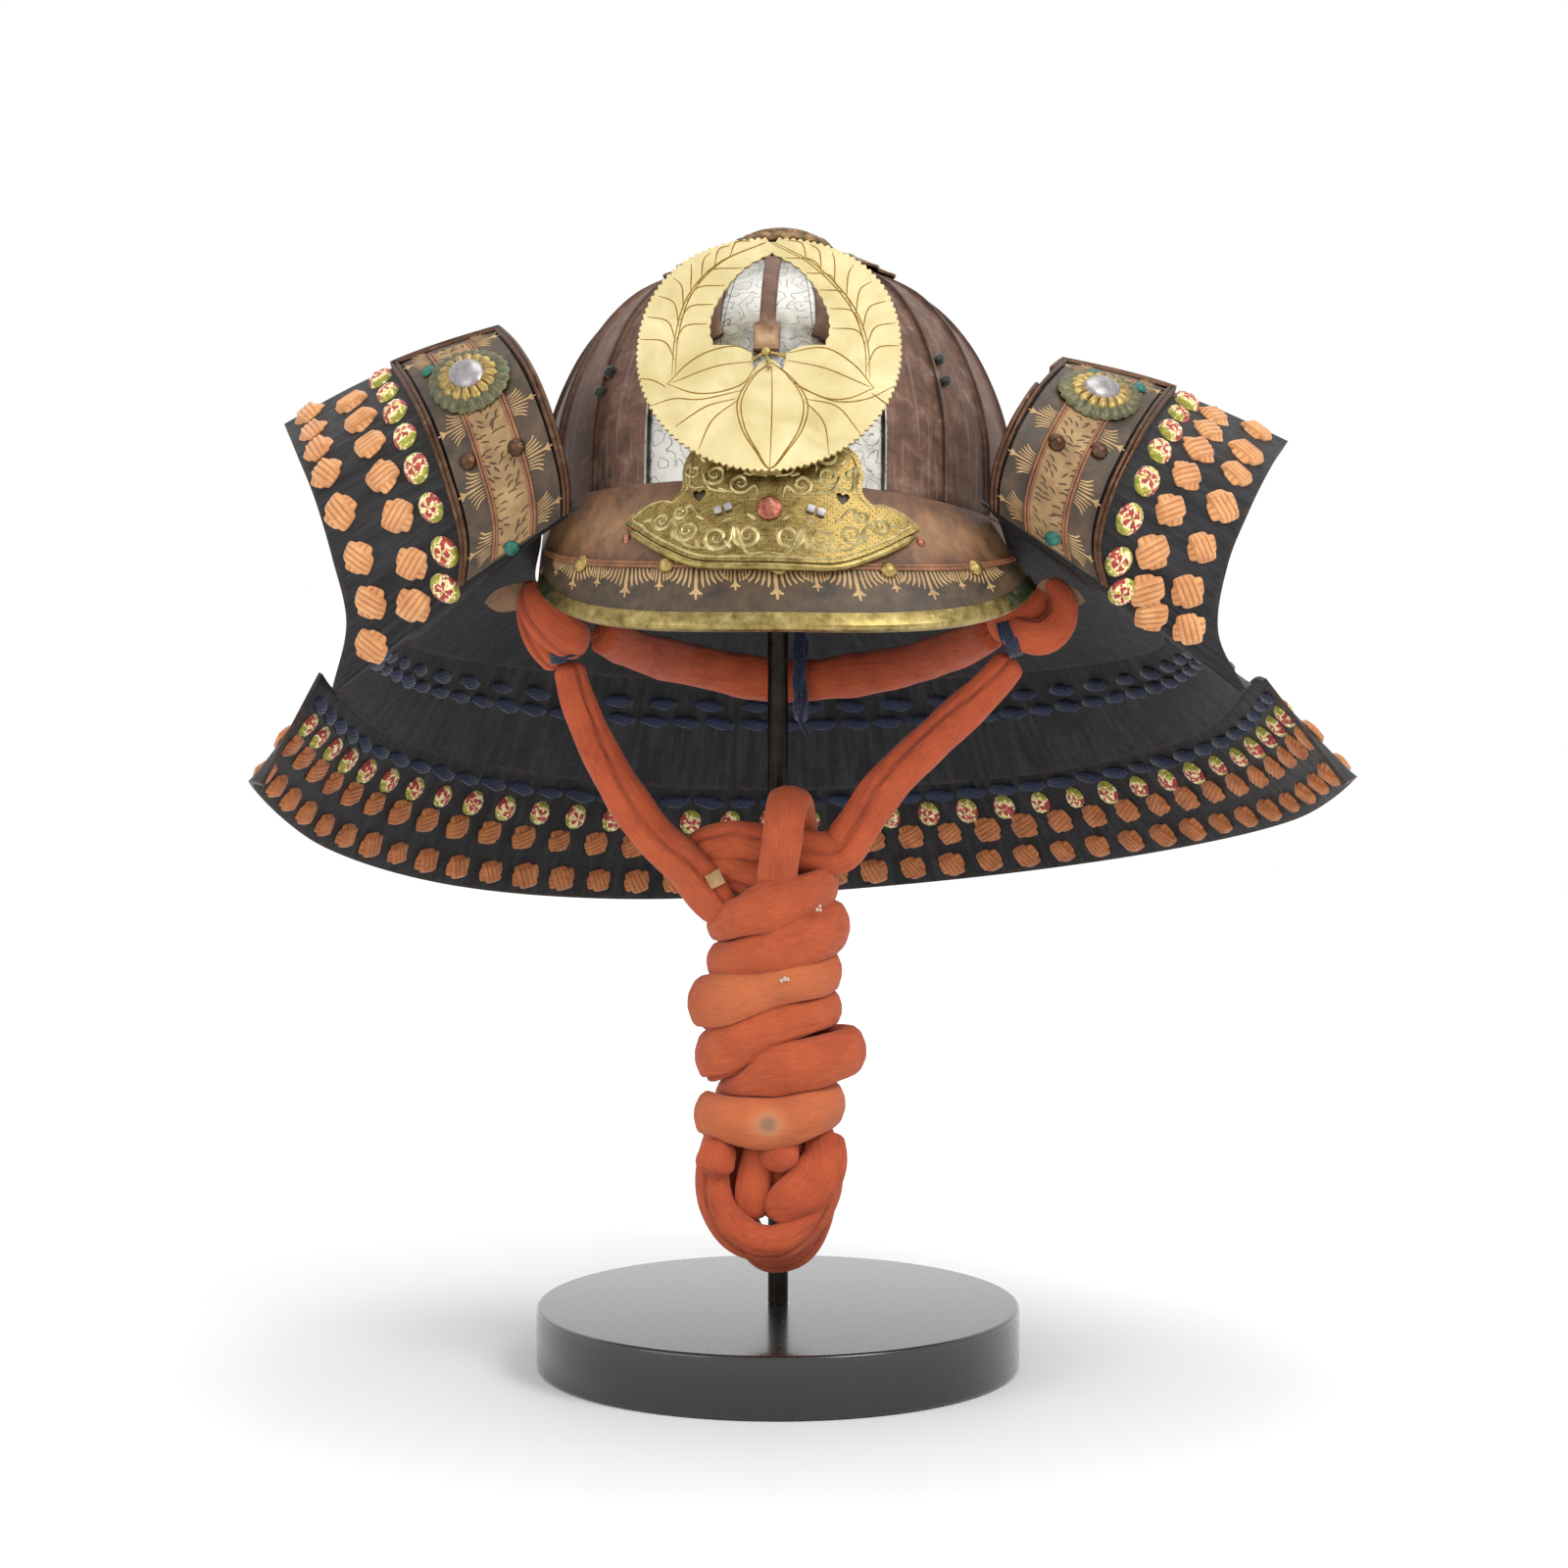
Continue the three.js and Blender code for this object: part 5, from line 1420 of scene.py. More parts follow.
def holder_scrolls():
    """Leafy scrolls and tufts in mirrored pairs, and a plain border line inside the holder's edge."""
    tufts = [[(x, h), (x + dx / 2 + 0.5, h + dh / 2 + 0.5), (x + dx, h + dh)] for x, h, dx, dh in TUFTS]
    border = holder_outline()
    centre = np.array([0.0, -2.0])
    inset = border + unit(centre - border) * 2.6
    tips = np.abs(border[:, 0]) > 62
    inset[tips] = border[tips] * (0.95, 0.9)
    return join(
        drawn(holder_at, mirrored([scroll(*values) for values in SCROLLS]), 2.0, 0.55, 60),
        drawn(holder_at, mirrored(tufts), 1.9, 0.45, 10),
        drawn(holder_at, [inset[2:-2]], 1.2, 0.4, 240))


piece("holder_scrolls", holder_scrolls(), [PALE_BRASS])


def staples():
    """Two bent steel keys through the holder, each a slotted block: a low arch in section, carried 3.4 mm
    in each half and narrowing to its ends."""
    section = rounded([(-1.9, 0.2), (-1.9, 1.8), (1.9, 2.3), (1.9, 0.2), (-1.9, 0.2)], 0.4, 3)
    parts = []
    for x, turn in ((-21.5, 0.3), (21.5, -0.25)):
        c, s = np.cos(turn), np.sin(turn)
        for shift in (-2.4, 2.4):
            e = np.linspace(-1.7, 1.7, 5)[:, None]
            a, b = shift + e + 0 * section[:, 0], section[:, 0] * (1 - 0.06 * np.abs(e))
            ring = holder_at(x + a * c - b * s, -RIVET_DOWN + a * s + b * c, section[:, 1] + 0 * e)
            parts += [grid(ring, close_v=True), rim_of(ring[0]), rim_of(ring[-1])]
    return join(*parts)


piece("holder_keys", staples(), [DOME_SILVER])


def heart_shade_sheets():
    """Painted shade seen through the heart cuts: sheets of dark leather colour, wider hearts, just
    behind the plate.
    """
    behind, wider = 1.9, 1.5
    return join(*(cut_plate(heart(side, wider), [], 1.5, lambda x, h, off: holder_at(x, h, off - behind), 0.8)
                  for side in (-1, 1)))


# dark sheets behind the heart cuts stand for the shade in the gap behind the holder
piece("heart_shade_sheets", heart_shade_sheets(), [DARK_HIDE])


def spray(size, teeth, spread):
    """A comb of curved teeth either side of a stem that ends in a three-pointed leaf, pointing to +y;
    spread is how far each tooth leans out beyond the one before."""
    curves = []
    for k in range(1, teeth + 1):
        foot, tip, reach = (0.5 + 1.75 * k) * size, (0.6 + spread * k) * size, (10.4 - 0.95 * k) * size
        curves += mirrored([[(foot, 0.0), (foot + 0.35 * (tip - foot), reach * 0.62), (tip, reach)]])
    stem = [[(0, 0), (0.1, 7.5 * size), (0, 15.5 * size)]]
    fork = mirrored([[(0, 10 * size), (1.1 * size, 12 * size), (2.6 * size, 12.8 * size)]])
    return curves, stem + fork


def sprays(place, spots, turn, size, teeth, spread):
    """Sprays at spots (x, y) of a surface, turned by an angle."""
    c, s = np.cos(turn), np.sin(turn)
    by_turn = np.array([[c, s], [-s, c]])
    comb, fork = spray(size, teeth, spread)
    parts = []
    for lines, width in ((comb, 1.15 * size), (fork, 1.5 * size)):
        many = [np.asarray(line) @ by_turn + spot for spot in spots for line in lines]
        parts.append(drawn(place, many, width, 0.14, 9))
    return join(*parts)


# ---- peak: piping, rivets and palmettes
def fluted_rivet(radius, height, flutes=10):
    """A domed rivet head whose flutes fade towards the top."""
    profile = rounded([(0, height), (radius * 0.45, height * 0.82), (radius * 0.9, height * 0.35),
                       (radius, 0.0), (0, -0.4)], 0.4, 4)

    def flute(a, r, _):
        """Grooves between the cosine's tops, deeper further out."""
        return -0.09 * r * (1 - np.abs(np.cos(flutes / 2 * a))), 0 * r
    return turned(profile, 5 * flutes, wave=flute)


def rivets(place, spots, off, *head):
    """Fluted rivet heads at spots (x, y) of a surface."""
    spots = np.array(spots)
    return stamp(fluted_rivet(*head), *on_surface(place, spots[:, 0], spots[:, 1], off))


PEAK_WIDE, PEAK_TALL = 262, 77
PIPE_H = (1 - PIPE_AT) * PEAK_TALL
PALMETTE_STEP = 33
peak_mm = scaled(lambda u, v, off: on_helmet(peak_leaf(u, 1 - v, off)), PEAK_WIDE, PEAK_TALL)


def peak_piping():
    """Two rolled cords side by side over the seam, pinched by a stitch every 4 mm."""
    stitch, aside = 4, 0.9
    x = np.linspace(2, PEAK_WIDE - 2, 420)
    radius = 0.95 * (1 - 0.14 * np.abs(np.cos(PI * x / stitch)) ** 8)
    parts = []
    for h in (PIPE_H + aside, PIPE_H - aside):
        path = peak_mm(x, h + 0 * x, 0.4 + 0 * x)
        parts.append(tube(path, radius, 10, up=peak_mm(x, h + 0 * x, 1.4 + 0 * x) - path))
    return join(*parts)


def peak_palmettes():
    """A row of large and small sprays by turns, hanging from the piping."""
    middle, h = PEAK_WIDE / 2, PIPE_H - 2
    large = [(middle + 1.5 + PALMETTE_STEP * k, h) for k in range(-3, 4)]
    small = [(middle + 18 + PALMETTE_STEP * k, h) for k in range(-4, 3)]
    return join(sprays(peak_mm, large, PI, 1.05, 5, 2.5), sprays(peak_mm, small, PI, 0.75, 3, 2.0))


def on_peak(spots):
    """Spots (u, v) of the peak, in mm across and up it."""
    u, v = np.array(spots).T
    return np.stack([u * PEAK_WIDE, (1 - v) * PEAK_TALL], -1)


brass_spots = on_peak([(0.328, 0.58), (0.513, 0.6), (0.69, 0.6), (0.145, 0.6), (0.865, 0.6)])
red_spots = on_peak([(0.242, 0.395), (0.25, 0.3), (0.77, 0.38)])
piece("peak_piping", peak_piping(), [PIPING])
piece("peak_palmettes", peak_palmettes(), [SPRAY_DYE])
piece("peak_rivets", rivets(peak_mm, brass_spots, 0.4, 4.6, 3.4), [OLD_GILT])
piece("peak_red_rivets", rivets(peak_mm, red_spots, 0.1, 2.6, 1.5, 8), [PINK_COPPER])


# ---- bowl: knotted cord rivets
BOWL_ROUND, BOWL_TALL = 118, 150


def bowl_mm(x, y, off):
    """The bowl's face, in mm round it from the front and up it."""
    return on_helmet(bowl(y / BOWL_TALL, x / BOWL_ROUND, off))


def knotted_stud():
    """A small lump of knotted cord, a ridged ball wider than it is high."""
    a, b = np.meshgrid(np.linspace(0, 2 * PI, 16, endpoint=False), np.linspace(0, PI, 8), indexing="ij")
    r = 1 + 0.12 * np.sin(3 * a + 4 * b) * np.sin(b)
    p = np.stack([3.3 * r * np.cos(a) * np.sin(b), 2.6 * r * np.sin(a) * np.sin(b),
                  1.2 + 2.5 * r * np.cos(b)], -1)
    return grid(p, close_u=True)


stud_angle = np.radians([-44.1, -45.9, 49.0, 49.0, 131, -131, 133, -133])
stud_s = np.array([0.323, 0.277, 0.363, 0.311, 0.36, 0.36, 0.3, 0.3])
studs = on_surface(bowl_mm, stud_angle * BOWL_ROUND, stud_s * BOWL_TALL, 0.8, 0.5)
piece("bowl_studs", stamp(knotted_stud(), *studs), [GREEN_CORD])


def bracket():
    """A small square plate of brown leather over the foot of the front strip, worn at its middle."""
    top, half = 0.388, 6.6 / 122
    s, a = np.meshgrid(np.linspace(STRIP_FOOT, top, 14), np.linspace(-half, half, 12), indexing="ij")
    front, back = (on_helmet(bowl(s, a, off + 0 * s)) for off in (4.3, 2.4))
    edge = np.minimum.reduce([s - STRIP_FOOT, top - s, (half - np.abs(a)) * 1.4])
    return slab(front, back, tone=smooth(edge, 0.0, 0.03), size=(12, 13))


piece("strip_bracket", bracket(), [TAN])


# ================================================================ lacing
def braid_band(length, width, height, turn=0.0, lift=0.0, ribs=4):
    """A flat-bottomed band of braid turned in its plane: an oblong of half length and half width whose
    corners draw in, its height falling to the rim as the root of one less the sixth power of the way
    out, with painted shade in the crease between its ribs, each the sine of the way across it."""
    u, v = np.meshgrid(np.linspace(-1, 1, 7), np.linspace(-1, 1, 3 * ribs + 1), indexing="ij")
    rib = np.abs(np.sin(PI * ribs * (v + 1) / 2))
    x = length * u * (1 - 0.12 * v ** 4) + 0.12 * width * v
    y = width * v * (1 - 0.17 * u ** 4)
    z = lift + np.sqrt(1 - u ** 6) * ((height - 0.7) * np.sqrt(1 - v ** 6) + 0.7 * rib)
    top = np.stack([x * np.cos(turn) - y * np.sin(turn), x * np.sin(turn) + y * np.cos(turn), z], -1)
    # painted shade: a tone below 0 in the creases between the ribs
    return slab(top, top * (1, 1, 0) - (0, 0, 0.5), tone=-0.42 * (1 - rib) ** 2 * (np.abs(v) < 0.99),
                size=(2 * length, 2 * width))


def cross_knot():
    """One wide ribbed band laid over another that shows at both its sides."""
    return join(braid_band(8.1, 5.2, 2.0, 1.5, ribs=3), braid_band(8.0, 5.7, 2.9, lift=0.6))


def oval_knot():
    """A domed oval wound in three colours: green at the middle, a red cross, a cream ring, and a rim of
    green and red by turns."""
    half_wide, half_tall, height = 6.4, 8.0, 3.6
    a, r = np.meshgrid(np.linspace(0, 2 * PI, 22, endpoint=False), np.linspace(1, 0, 7), indexing="ij")
    cross = smooth(-np.cos(4 * a), -0.3, 0.5) * smooth(0.6 - r, 0, 0.1)
    rim = smooth(r, 0.6, 0.75)
    level = blend_to(1.0 * cross - 0.9 * (r < 0.1), -0.8 + 1.5 * smooth(np.cos(2 * a + 0.9), 0.0, 0.6), rim)
    dome = height * np.sqrt(np.clip(1 - r ** 2.6, 0, 1))
    z = dome + 0.6 * cross * (1 - r) + 0.25 * np.cos(11 * a) * rim - 0.4 * (r > 0.99)
    p = np.stack([half_wide * r * np.cos(a), half_tall * r * np.sin(a), z], -1)
    return grid(p, close_u=True, tone=level)


def dash():
    """A stitch of cord lying flat, its ends dipping into the plate."""
    length, radius, height = 15.5, 3.3, 1.3
    t = np.linspace(0, 1, 10)
    path = np.stack([length * (t - 0.5), 0.5 * np.sin(2 * PI * t), height * np.sin(PI * t) ** 0.5 - 0.3], -1)
    return tube(path, radius * np.sin(PI * np.clip(t, 0.06, 0.94)) ** 0.4, 8, flat=0.62, size=(13, 12))


def jitter(spots, turn, amount=0.1):
    """Directions turned and sizes changed a little at random, knot by knot."""
    grow = 0.05
    at, right, up, out = spots
    n = len(at)
    a = turn + rng.normal(0, amount, n)[:, None]
    k = 1 + rng.normal(0, grow, n)[:, None]
    c, s = np.cos(a), np.sin(a)
    return at, (right * c + up * s) * k, (up * c - right * s) * k, out * k


def even_spots(place, wide, y, pitch, start, end):
    """Positions x along a row at height y, a pitch apart on the surface."""
    x = np.linspace(start, end, 1500) * wide
    far = distances(place(x, y + 0 * x, 0 * x))
    count = int(far[-1] // pitch)
    return np.interp((far[-1] - pitch * count) / 2 + pitch * (np.arange(count) + 0.5), far, x)


LAME_WIDE, LAME_TALL = 800, 66


def lame_side(k, inner):
    """The lame's inner or outer face in mm, x to the right as it is looked at and y up."""
    place = LAMES[k]
    if inner:
        return scaled(lambda u, v, off: on_helmet(place(u, 1 - v, LAME_TH + off)), LAME_WIDE, LAME_TALL)
    return scaled(lambda u, v, off: on_helmet(place(1 - u, 1 - v, -off)), LAME_WIDE, LAME_TALL)


templates = {"orange": cross_knot(), "oval": oval_knot(), "navy": dash()}
lame_sizes = {"orange": 0.87, "oval": 0.88, "navy": 1.0}
lace = {kind: [] for kind in templates}
rows = [
    # lame, inner face, height from the lower edge, kind, pitch, first and last part of its width, slant
    (3, True, 0.15, "orange", 21.6, 0.045, 0.955, -1.05), (3, True, 0.45, "orange", 21.6, 0.05, 0.95, 0.55),
    (3, True, 0.655, "oval", 21.6, 0.055, 0.945, 0), (3, True, 0.83, "navy", 18, 0.05, 0.95, 0),
    (2, True, 0.57, "navy", 18, 0.04, 0.96, 0), (2, True, 0.72, "navy", 25, 0.06, 0.94, 0),
    (3, False, 0.15, "orange", 21.6, 0.03, 0.97, -0.85), (3, False, 0.45, "orange", 21.6, 0.03, 0.97, 0.7),
    (3, False, 0.7, "oval", 21.6, 0.03, 0.97, 0), (2, False, 0.3, "navy", 18, 0.02, 0.98, 0),
    (2, False, 0.62, "oval", 21.6, 0.02, 0.98, 0), (1, False, 0.2, "navy", 18, 0.02, 0.98, 0),
    (1, False, 0.5, "oval", 21.6, 0.02, 0.98, 0),
]
for lame_number, inner, height, kind, pitch, first, last, slant in rows:
    face = lame_side(lame_number, inner)
    y = height * LAME_TALL
    x = even_spots(face, LAME_WIDE, y, pitch, first, last)
    at, *ways = jitter(on_surface(face, x, y + 0 * x, 0.1), slant, 0.08)
    lace[kind].append(stamp(templates[kind], at, *(way * lame_sizes[kind] for way in ways)))
piece("lame_knots", join(*lace["orange"]), [RUST_BRAID])
piece("lame_ovals", join(*lace["oval"]), [MOSAIC])
piece("lame_stitches", join(*lace["navy"]), [NAVY])

# places (f, t) of the knots on each turn-back, column by column from the outer edge in
COLUMNS = {
    "left": {
        "outer": [(0.888, 0.975), (0.902, 0.87), (0.912, 0.775), (0.92, 0.667), (0.917, 0.517),
                  (0.895, 0.352), (0.883, 0.205), (0.84, 0.05)],
        "inner": [(0.713, 0.907), (0.71, 0.795), (0.715, 0.68), (0.711, 0.547), (0.698, 0.398),
                  (0.688, 0.235), (0.665, 0.085)],
        "oval": [(0.562, 0.96), (0.563, 0.86), (0.57, 0.755), (0.575, 0.64), (0.573, 0.51), (0.56, 0.36),
                 (0.542, 0.2), (0.52, 0.06)]},
    "right": {
        "outer": [(0.87, 0.965), (0.882, 0.82), (0.89, 0.708), (0.895, 0.565), (0.88, 0.4), (0.86, 0.258),
                  (0.833, 0.12)],
        "inner": [(0.69, 0.94), (0.705, 0.84), (0.71, 0.728), (0.715, 0.603), (0.713, 0.455),
                  (0.69, 0.297), (0.665, 0.15), (0.63, 0.035)],
        "oval": [(0.562, 0.96), (0.565, 0.86), (0.573, 0.753), (0.575, 0.642), (0.583, 0.505),
                 (0.57, 0.348), (0.55, 0.188), (0.52, 0.05)]},
}
SLANT = {"left": {"outer": 1.2, "inner": -0.33, "oval": 0.0},
         "right": {"outer": -0.45, "inner": 0.85, "oval": 0.0}}
TURN_WIDE, TURN_TALL = 128, 162
for name, turn in turn_backs.items():
    flat = scaled(turn.point, TURN_WIDE, TURN_TALL)
    behind = scaled(lambda f, t, off, turn=turn: turn.point(f, t, -TURN_TH - off), TURN_WIDE, TURN_TALL)
    lace = {kind: [] for kind in templates}
    for column, places in COLUMNS[name].items():
        x, y = (np.array(places) * (TURN_WIDE, TURN_TALL)).T
        kind = "oval" if column == "oval" else "orange"
        spots = jitter(on_surface(flat, x, y, 0.1), SLANT[name][column], 0.09)
        lace[kind].append(stamp(templates[kind], *spots))
        lace["navy"].append(stamp(templates["navy"], *jitter(on_surface(behind, x, y, 0.1), 0.2)))
    piece(f"turnback_{name}_knots", join(*lace["orange"]), [BRAID])
    piece(f"turnback_{name}_ovals", join(*lace["oval"]), [MOSAIC])
    piece(f"turnback_{name}_stitches", join(*lace["navy"]), [NAVY])


# ---- folds between the neck guard and its turn-backs
def fold(turn, end):
    """The rolled plate that joins the front edges of the two upper lames to the foot of the turn-back:
    straight across from one to the other, bulging by the sine of the way across."""
    split, thickness = 0.62, 1.2
    w, s = np.meshgrid(np.linspace(0, 1, 12), np.linspace(-0.04, 1, 60), indexing="ij")
    upper = LAMES[1](end + 0 * s, np.clip(s / split, -0.1, 1), LAME_TH + 0 * s)
    lower = LAMES[2](end + 0 * s, np.clip((s - split) / (1 - split), 0, 1), LAME_TH + 0 * s)
    foot = turn.place(0.98 * s, 0.012 + 0 * s, -0.6 + 0 * s)
    p = blend_to(np.where((s < split)[..., None], upper, lower), foot, w[..., None])
    bulge = 3.2 * np.sin(PI * w)
    outer = p + bulge[..., None] * np.array([0.35 * turn.side, -0.35, -0.85])
    inner = outer + np.array([-0.5 * turn.side, 0.4, 1.0]) * thickness
    return slab(on_helmet(outer), on_helmet(inner), tone=0.1, size=(20, 120))


for name, turn in turn_backs.items():
    piece(f"fold_{name}", fold(turn, (turn.side + 1) / 2), [LACQUER])


# ---- leather panels: the middle band, its piping, flecks, sprays and rivets
PANEL_WIDE = 46
PANEL_MIDDLE = PANEL_WIDE / 2
BAND_FOOT, BAND_TOP = 0.045, 0.945
RIVET_SPOTS = {
    "left": ([(0.372, 0.84), (0.173, 0.815), (0.235, 0.045)], [(0.36, 0.425), (0.163, 0.383)]),
    "right": ([(0.367, 0.89), (0.165, 0.89), (0.253, 0.095)], [(0.355, 0.505), (0.19, 0.453)]),
}


def panel_face(turn):
    """The panel's bulging face, in mm across and up it."""
    def face(across, t, off):
        bulge = 0.5 * np.sin(PI * np.clip(across, 0, 1))
        return turn.point(turn.panel(across, t), t, 2.45 + bulge + off)
    return scaled(face, PANEL_WIDE, TURN_TALL)


def panel_band(face):
    """A flat strip up the middle of the panel."""
    x, y = np.meshgrid(PANEL_MIDDLE + np.linspace(-8.5, 8.5, 9),
                       np.linspace(BAND_FOOT, BAND_TOP, 70) * TURN_TALL, indexing="ij")
    return slab(face(x, y, 0.35 + 0 * x), face(x, y, -0.2 + 0 * x), size=(17, 140))


def panel_piping(face):
    """Two rolled cords down either side of the band, pinched by a stitch every 3 mm."""
    stitch = 3
    y = np.linspace(BAND_FOOT, BAND_TOP, 160) * TURN_TALL
    radius = 0.75 * (1 - 0.12 * np.abs(np.cos(PI * y / stitch)) ** 8)
    parts = []
    for aside in (-10.2, -8.7, 8.7, 10.2):
        x = PANEL_MIDDLE + aside + 0 * y
        path = face(x, y, 0.35 + 0 * y)
        parts.append(tube(path, radius, 8, up=face(x, y, 1.35 + 0 * y) - path))
    return join(*parts)


def panel_flecks(face):
    """Short dark strokes in four uneven columns, some left out, their lean swinging up the band."""
    ticks = []
    for k, row in enumerate(np.arange(0.07, 0.94, 0.027)):
        for aside in (-6.4, -2.6, 2.6, 6.4):
            if rng.random() < 0.82:
                x, y = PANEL_MIDDLE + aside + rng.normal(0, 0.6), row * TURN_TALL + rng.normal(0, 0.7)
                lean = np.sign(aside) * (0.5 + 0.5 * np.sin(k * 0.8)) + rng.normal(0, 0.25)
                reach = 3.2 + rng.random() * 1.6
                dx, dy = reach * np.cos(lean), reach * np.sin(lean)
                ticks.append([(x, y), (x + 0.5 * dx, y + 0.35 * dy + 0.5), (x + dx, y + dy)])
    return drawn(lambda x, y, off: face(x, y, off + 0.35), ticks, 1.05, 0.12, 6)


def panel_sprays(face):
    """Sprays that point inwards and outwards from the band."""
    parts = []
    for aside, turned_by, heights in (
        (-11.4, PI / 2, (0.12, 0.33, 0.54, 0.93)),
        (11.4, -PI / 2, (0.12, 0.33, 0.56, 0.93)),
    ):
        spots = [(PANEL_MIDDLE + aside, f * TURN_TALL) for f in heights]
        parts.append(sprays(face, spots, turned_by, 0.86, 4, 2.9))
    return join(*parts)


for name, turn in turn_backs.items():
    face = panel_face(turn)
    flat = scaled(turn.point, TURN_WIDE, TURN_TALL)
    green, dark = (np.array(spots) * (TURN_WIDE, TURN_TALL) for spots in RIVET_SPOTS[name])
    piece(f"panel_{name}_band", panel_band(face), [CREAM])
    piece(f"panel_{name}_piping", panel_piping(face), [PIPING])
    piece(f"panel_{name}_flecks", panel_flecks(face), [FLECK])
    piece(f"panel_{name}_sprays", panel_sprays(face), [SPRAY_DYE])
    piece(f"panel_{name}_green_rivets", rivets(flat, green, 3.2, 4.0, 3.2), [GREEN_BRONZE])
    piece(f"panel_{name}_dark_rivets", rivets(flat, dark, 3.2, 4.6, 4.0), [COPPER])


# ---- tabs the cord hangs from, and the tie round the swag
def tab(side, centre, tilt):
    """A leather ear, pointed at the outer end, bulging a little at its middle."""
    ear = bend([(-13, -1.5), (-8, -6), (0, -7), (8, -4.5), (11, 1), (7, 5.5), (-2, 5.2), (-9, 2.5),
                (-13, -1.5)], 44)[:-1]
    c, s = np.cos(tilt), np.sin(tilt)

    def place(x, h, off):
        lift = 1.2 * (1 - (x / 13) ** 2) * (1 - (h / 8) ** 2)
        x = -x * side
        return np.stack([centre[0] + x * c - h * s, centre[1] - off - lift, centre[2] + x * s + h * c], -1)
    return cut_plate(ear, [], 2.4, place, 3.2)


piece("tab_left", tab(-1, (-125, -57, 385.5), 0.12), [TAN], ["cord_tab_left"])
piece("tab_right", tab(1, (137, -58, 388), -0.2), [TAN], ["cord_tab_right"])


TIE = [(7, 87, 316), (7, 71.5, 329), (7, 71.5, 348), (7, 83, 368), (7, 98, 368), (7, 100, 348), (7, 100, 330)]


def tie():
    """Two twisted strands of thread side by side round the swag, and a loose end."""
    stations = 180
    path = curve(TIE, closed=True)(np.linspace(0, 1, stations + 1)[:-1])
    t = np.linspace(0, 2 * PI, stations, endpoint=False)
    parts = []
    for shift in (-1.5, 1.5):
        strand = path + np.stack([shift + 0.4 * np.sin(9 * t), 0 * t, 0 * t], -1)
        parts.append(tube(strand, 1.7 * (1 + 0.07 * np.sin(40 * t)), 12, closed=True, size=(150, 11)))
    loose = curve([(9, 72, 338), (10, 69, 326), (8, 70, 316), (11, 71, 309)])(np.linspace(0, 1, 30))
    parts.append(tube(loose, 1.5, 10, size=(30, 9)))
    return join(*parts)


piece("swag_tie", tie(), [NAVY], ["cord_tie"])


# ================================================================ silk chin cord
CORD_R = 10
CORD_SIDES = 36
FORWARD = np.array([0.0, -1.0, 0.0])
SWAG = [(-83, -42, 366), (-70, 0, 356), (-49, 50, 346), (-2, 84, 335), (49, 60, 342), (86, 10, 356),
        (106, -38, 368)]
LEG_LEFT = [(-98, -57, 354), (-92, -58, 333), (-77, -54, 300), (-58, -50, 271), (-44, -47, 257)]
LEG_RIGHT = [(116, -57, 357), (104, -58, 343), (79, -54, 319), (55, -50, 295), (39, -47, 272), (32, -46, 263)]
# past the frame's solids the legs run on into the hank: the left one under its first turn, the right one
# behind the left and back again
LEFT_END = [(-36, -49, 248), (-28, -51, 238), (-22, -50, 230)]
RIGHT_END = [(14, -46, 262), (-6, -47, 266), (-24, -44, 266), (-35, -38, 261), (-34, -38, 254),
             (-22, -45, 252), (-6, -51, 247), (6, -52, 238)]
# turns of the hank from the top: x and z where the band turns at the left, z midway, x and z at the
# right, how far it stands proud, then its half width at left, middle and right
TURNS = [
    (-33.3, 226.9, 237.4, 33.0, 246.0, 3.0, 10, 13.2, 10),
    (-34.0, 208.5, 216.4, 36.4, 225.5, 2.0, 9, 11.5, 12.8),
    (-40.2, 187.6, 198.2, 34.2, 203.4, 1.0, 13.2, 10.5, 10.5),
    (-37.4, 162.0, 178.5, 35.4, 185.7, 0.0, 12.8, 10.8, 8.5),
    (-30.0, 145.5, 156.5, 44.5, 165.1, 1.0, 7, 12.2, 12.8),
    (-42.2, 134.0, 132.0, 35.2, 138.8, 2.5, 12, 12.8, 12),
]
HANK_Y, HANK_FRONT, HANK_BACK = -44, -59.5, -30.5
BAND_HALF = 7.5


def crinkled(path, wide, up, flat, seed, crease=None, taper=(5, 5), tone=0.0):
    """A stuffed silk band round a path: an ellipse in section, lumpy every 15 mm or so, with shallow
    folds that run slantwise along it, a crease where the cloth is lapped, darkened by a low tone as
    painted shade, and ends closed over tapers."""
    far = distances(path)[:, None]
    a = np.linspace(0, 2 * PI, CORD_SIDES, endpoint=False)[None]
    lump = (0.035 * np.sin(far / 6.1 + seed) * np.sin(2 * a + far / 19 + seed)
            + 0.03 * np.sin(far / 11 + 1.7 * seed))
    folds = 0.022 * np.sin(9 * a + 2.2 * np.sin(far / 13 + seed) + far / 21) * np.sin(far / 8 + 3 * a + seed)
    r = 1 + lump + folds
    if crease is not None:
        at = PI + crease + 0.25 * np.sin(far / 23 + seed)
        cut = np.exp(-((a - at) / 0.13) ** 2)
        r = r - 0.15 * cut
        # painted shade: the tone falls in the crease
        tone = tone - 0.8 * cut
    r = r * wide[:, None]
    for length, from_end in ((taper[0], far), (taper[1], far[-1] - far)):
        r = r * np.sqrt(np.clip(1 - (1 - np.clip(from_end / length, 0, 1)) ** 2, 0.02, 1))
    tone = np.broadcast_to(tone, r.shape)
    return tube(path, r, CORD_SIDES, up=up, flat=flat, tone=tone, size=(float(far[-1, 0]), 2 * PI * CORD_R))


def routed(stations, count):
    """Even stations of a route whose points carry a fourth number, the half width there."""
    p = evenly(stations, count, 3000)
    return p[:, :3], p[:, 3]


def declare(obj, path, exit_at, with_pieces=()):
    """Works out the route's length and its exit point in metres, and keeps neither."""
    length = float(np.linalg.norm(np.diff(path, axis=0), axis=1).sum()) * MM
    tuple(float(x) * MM for x in exit_at)


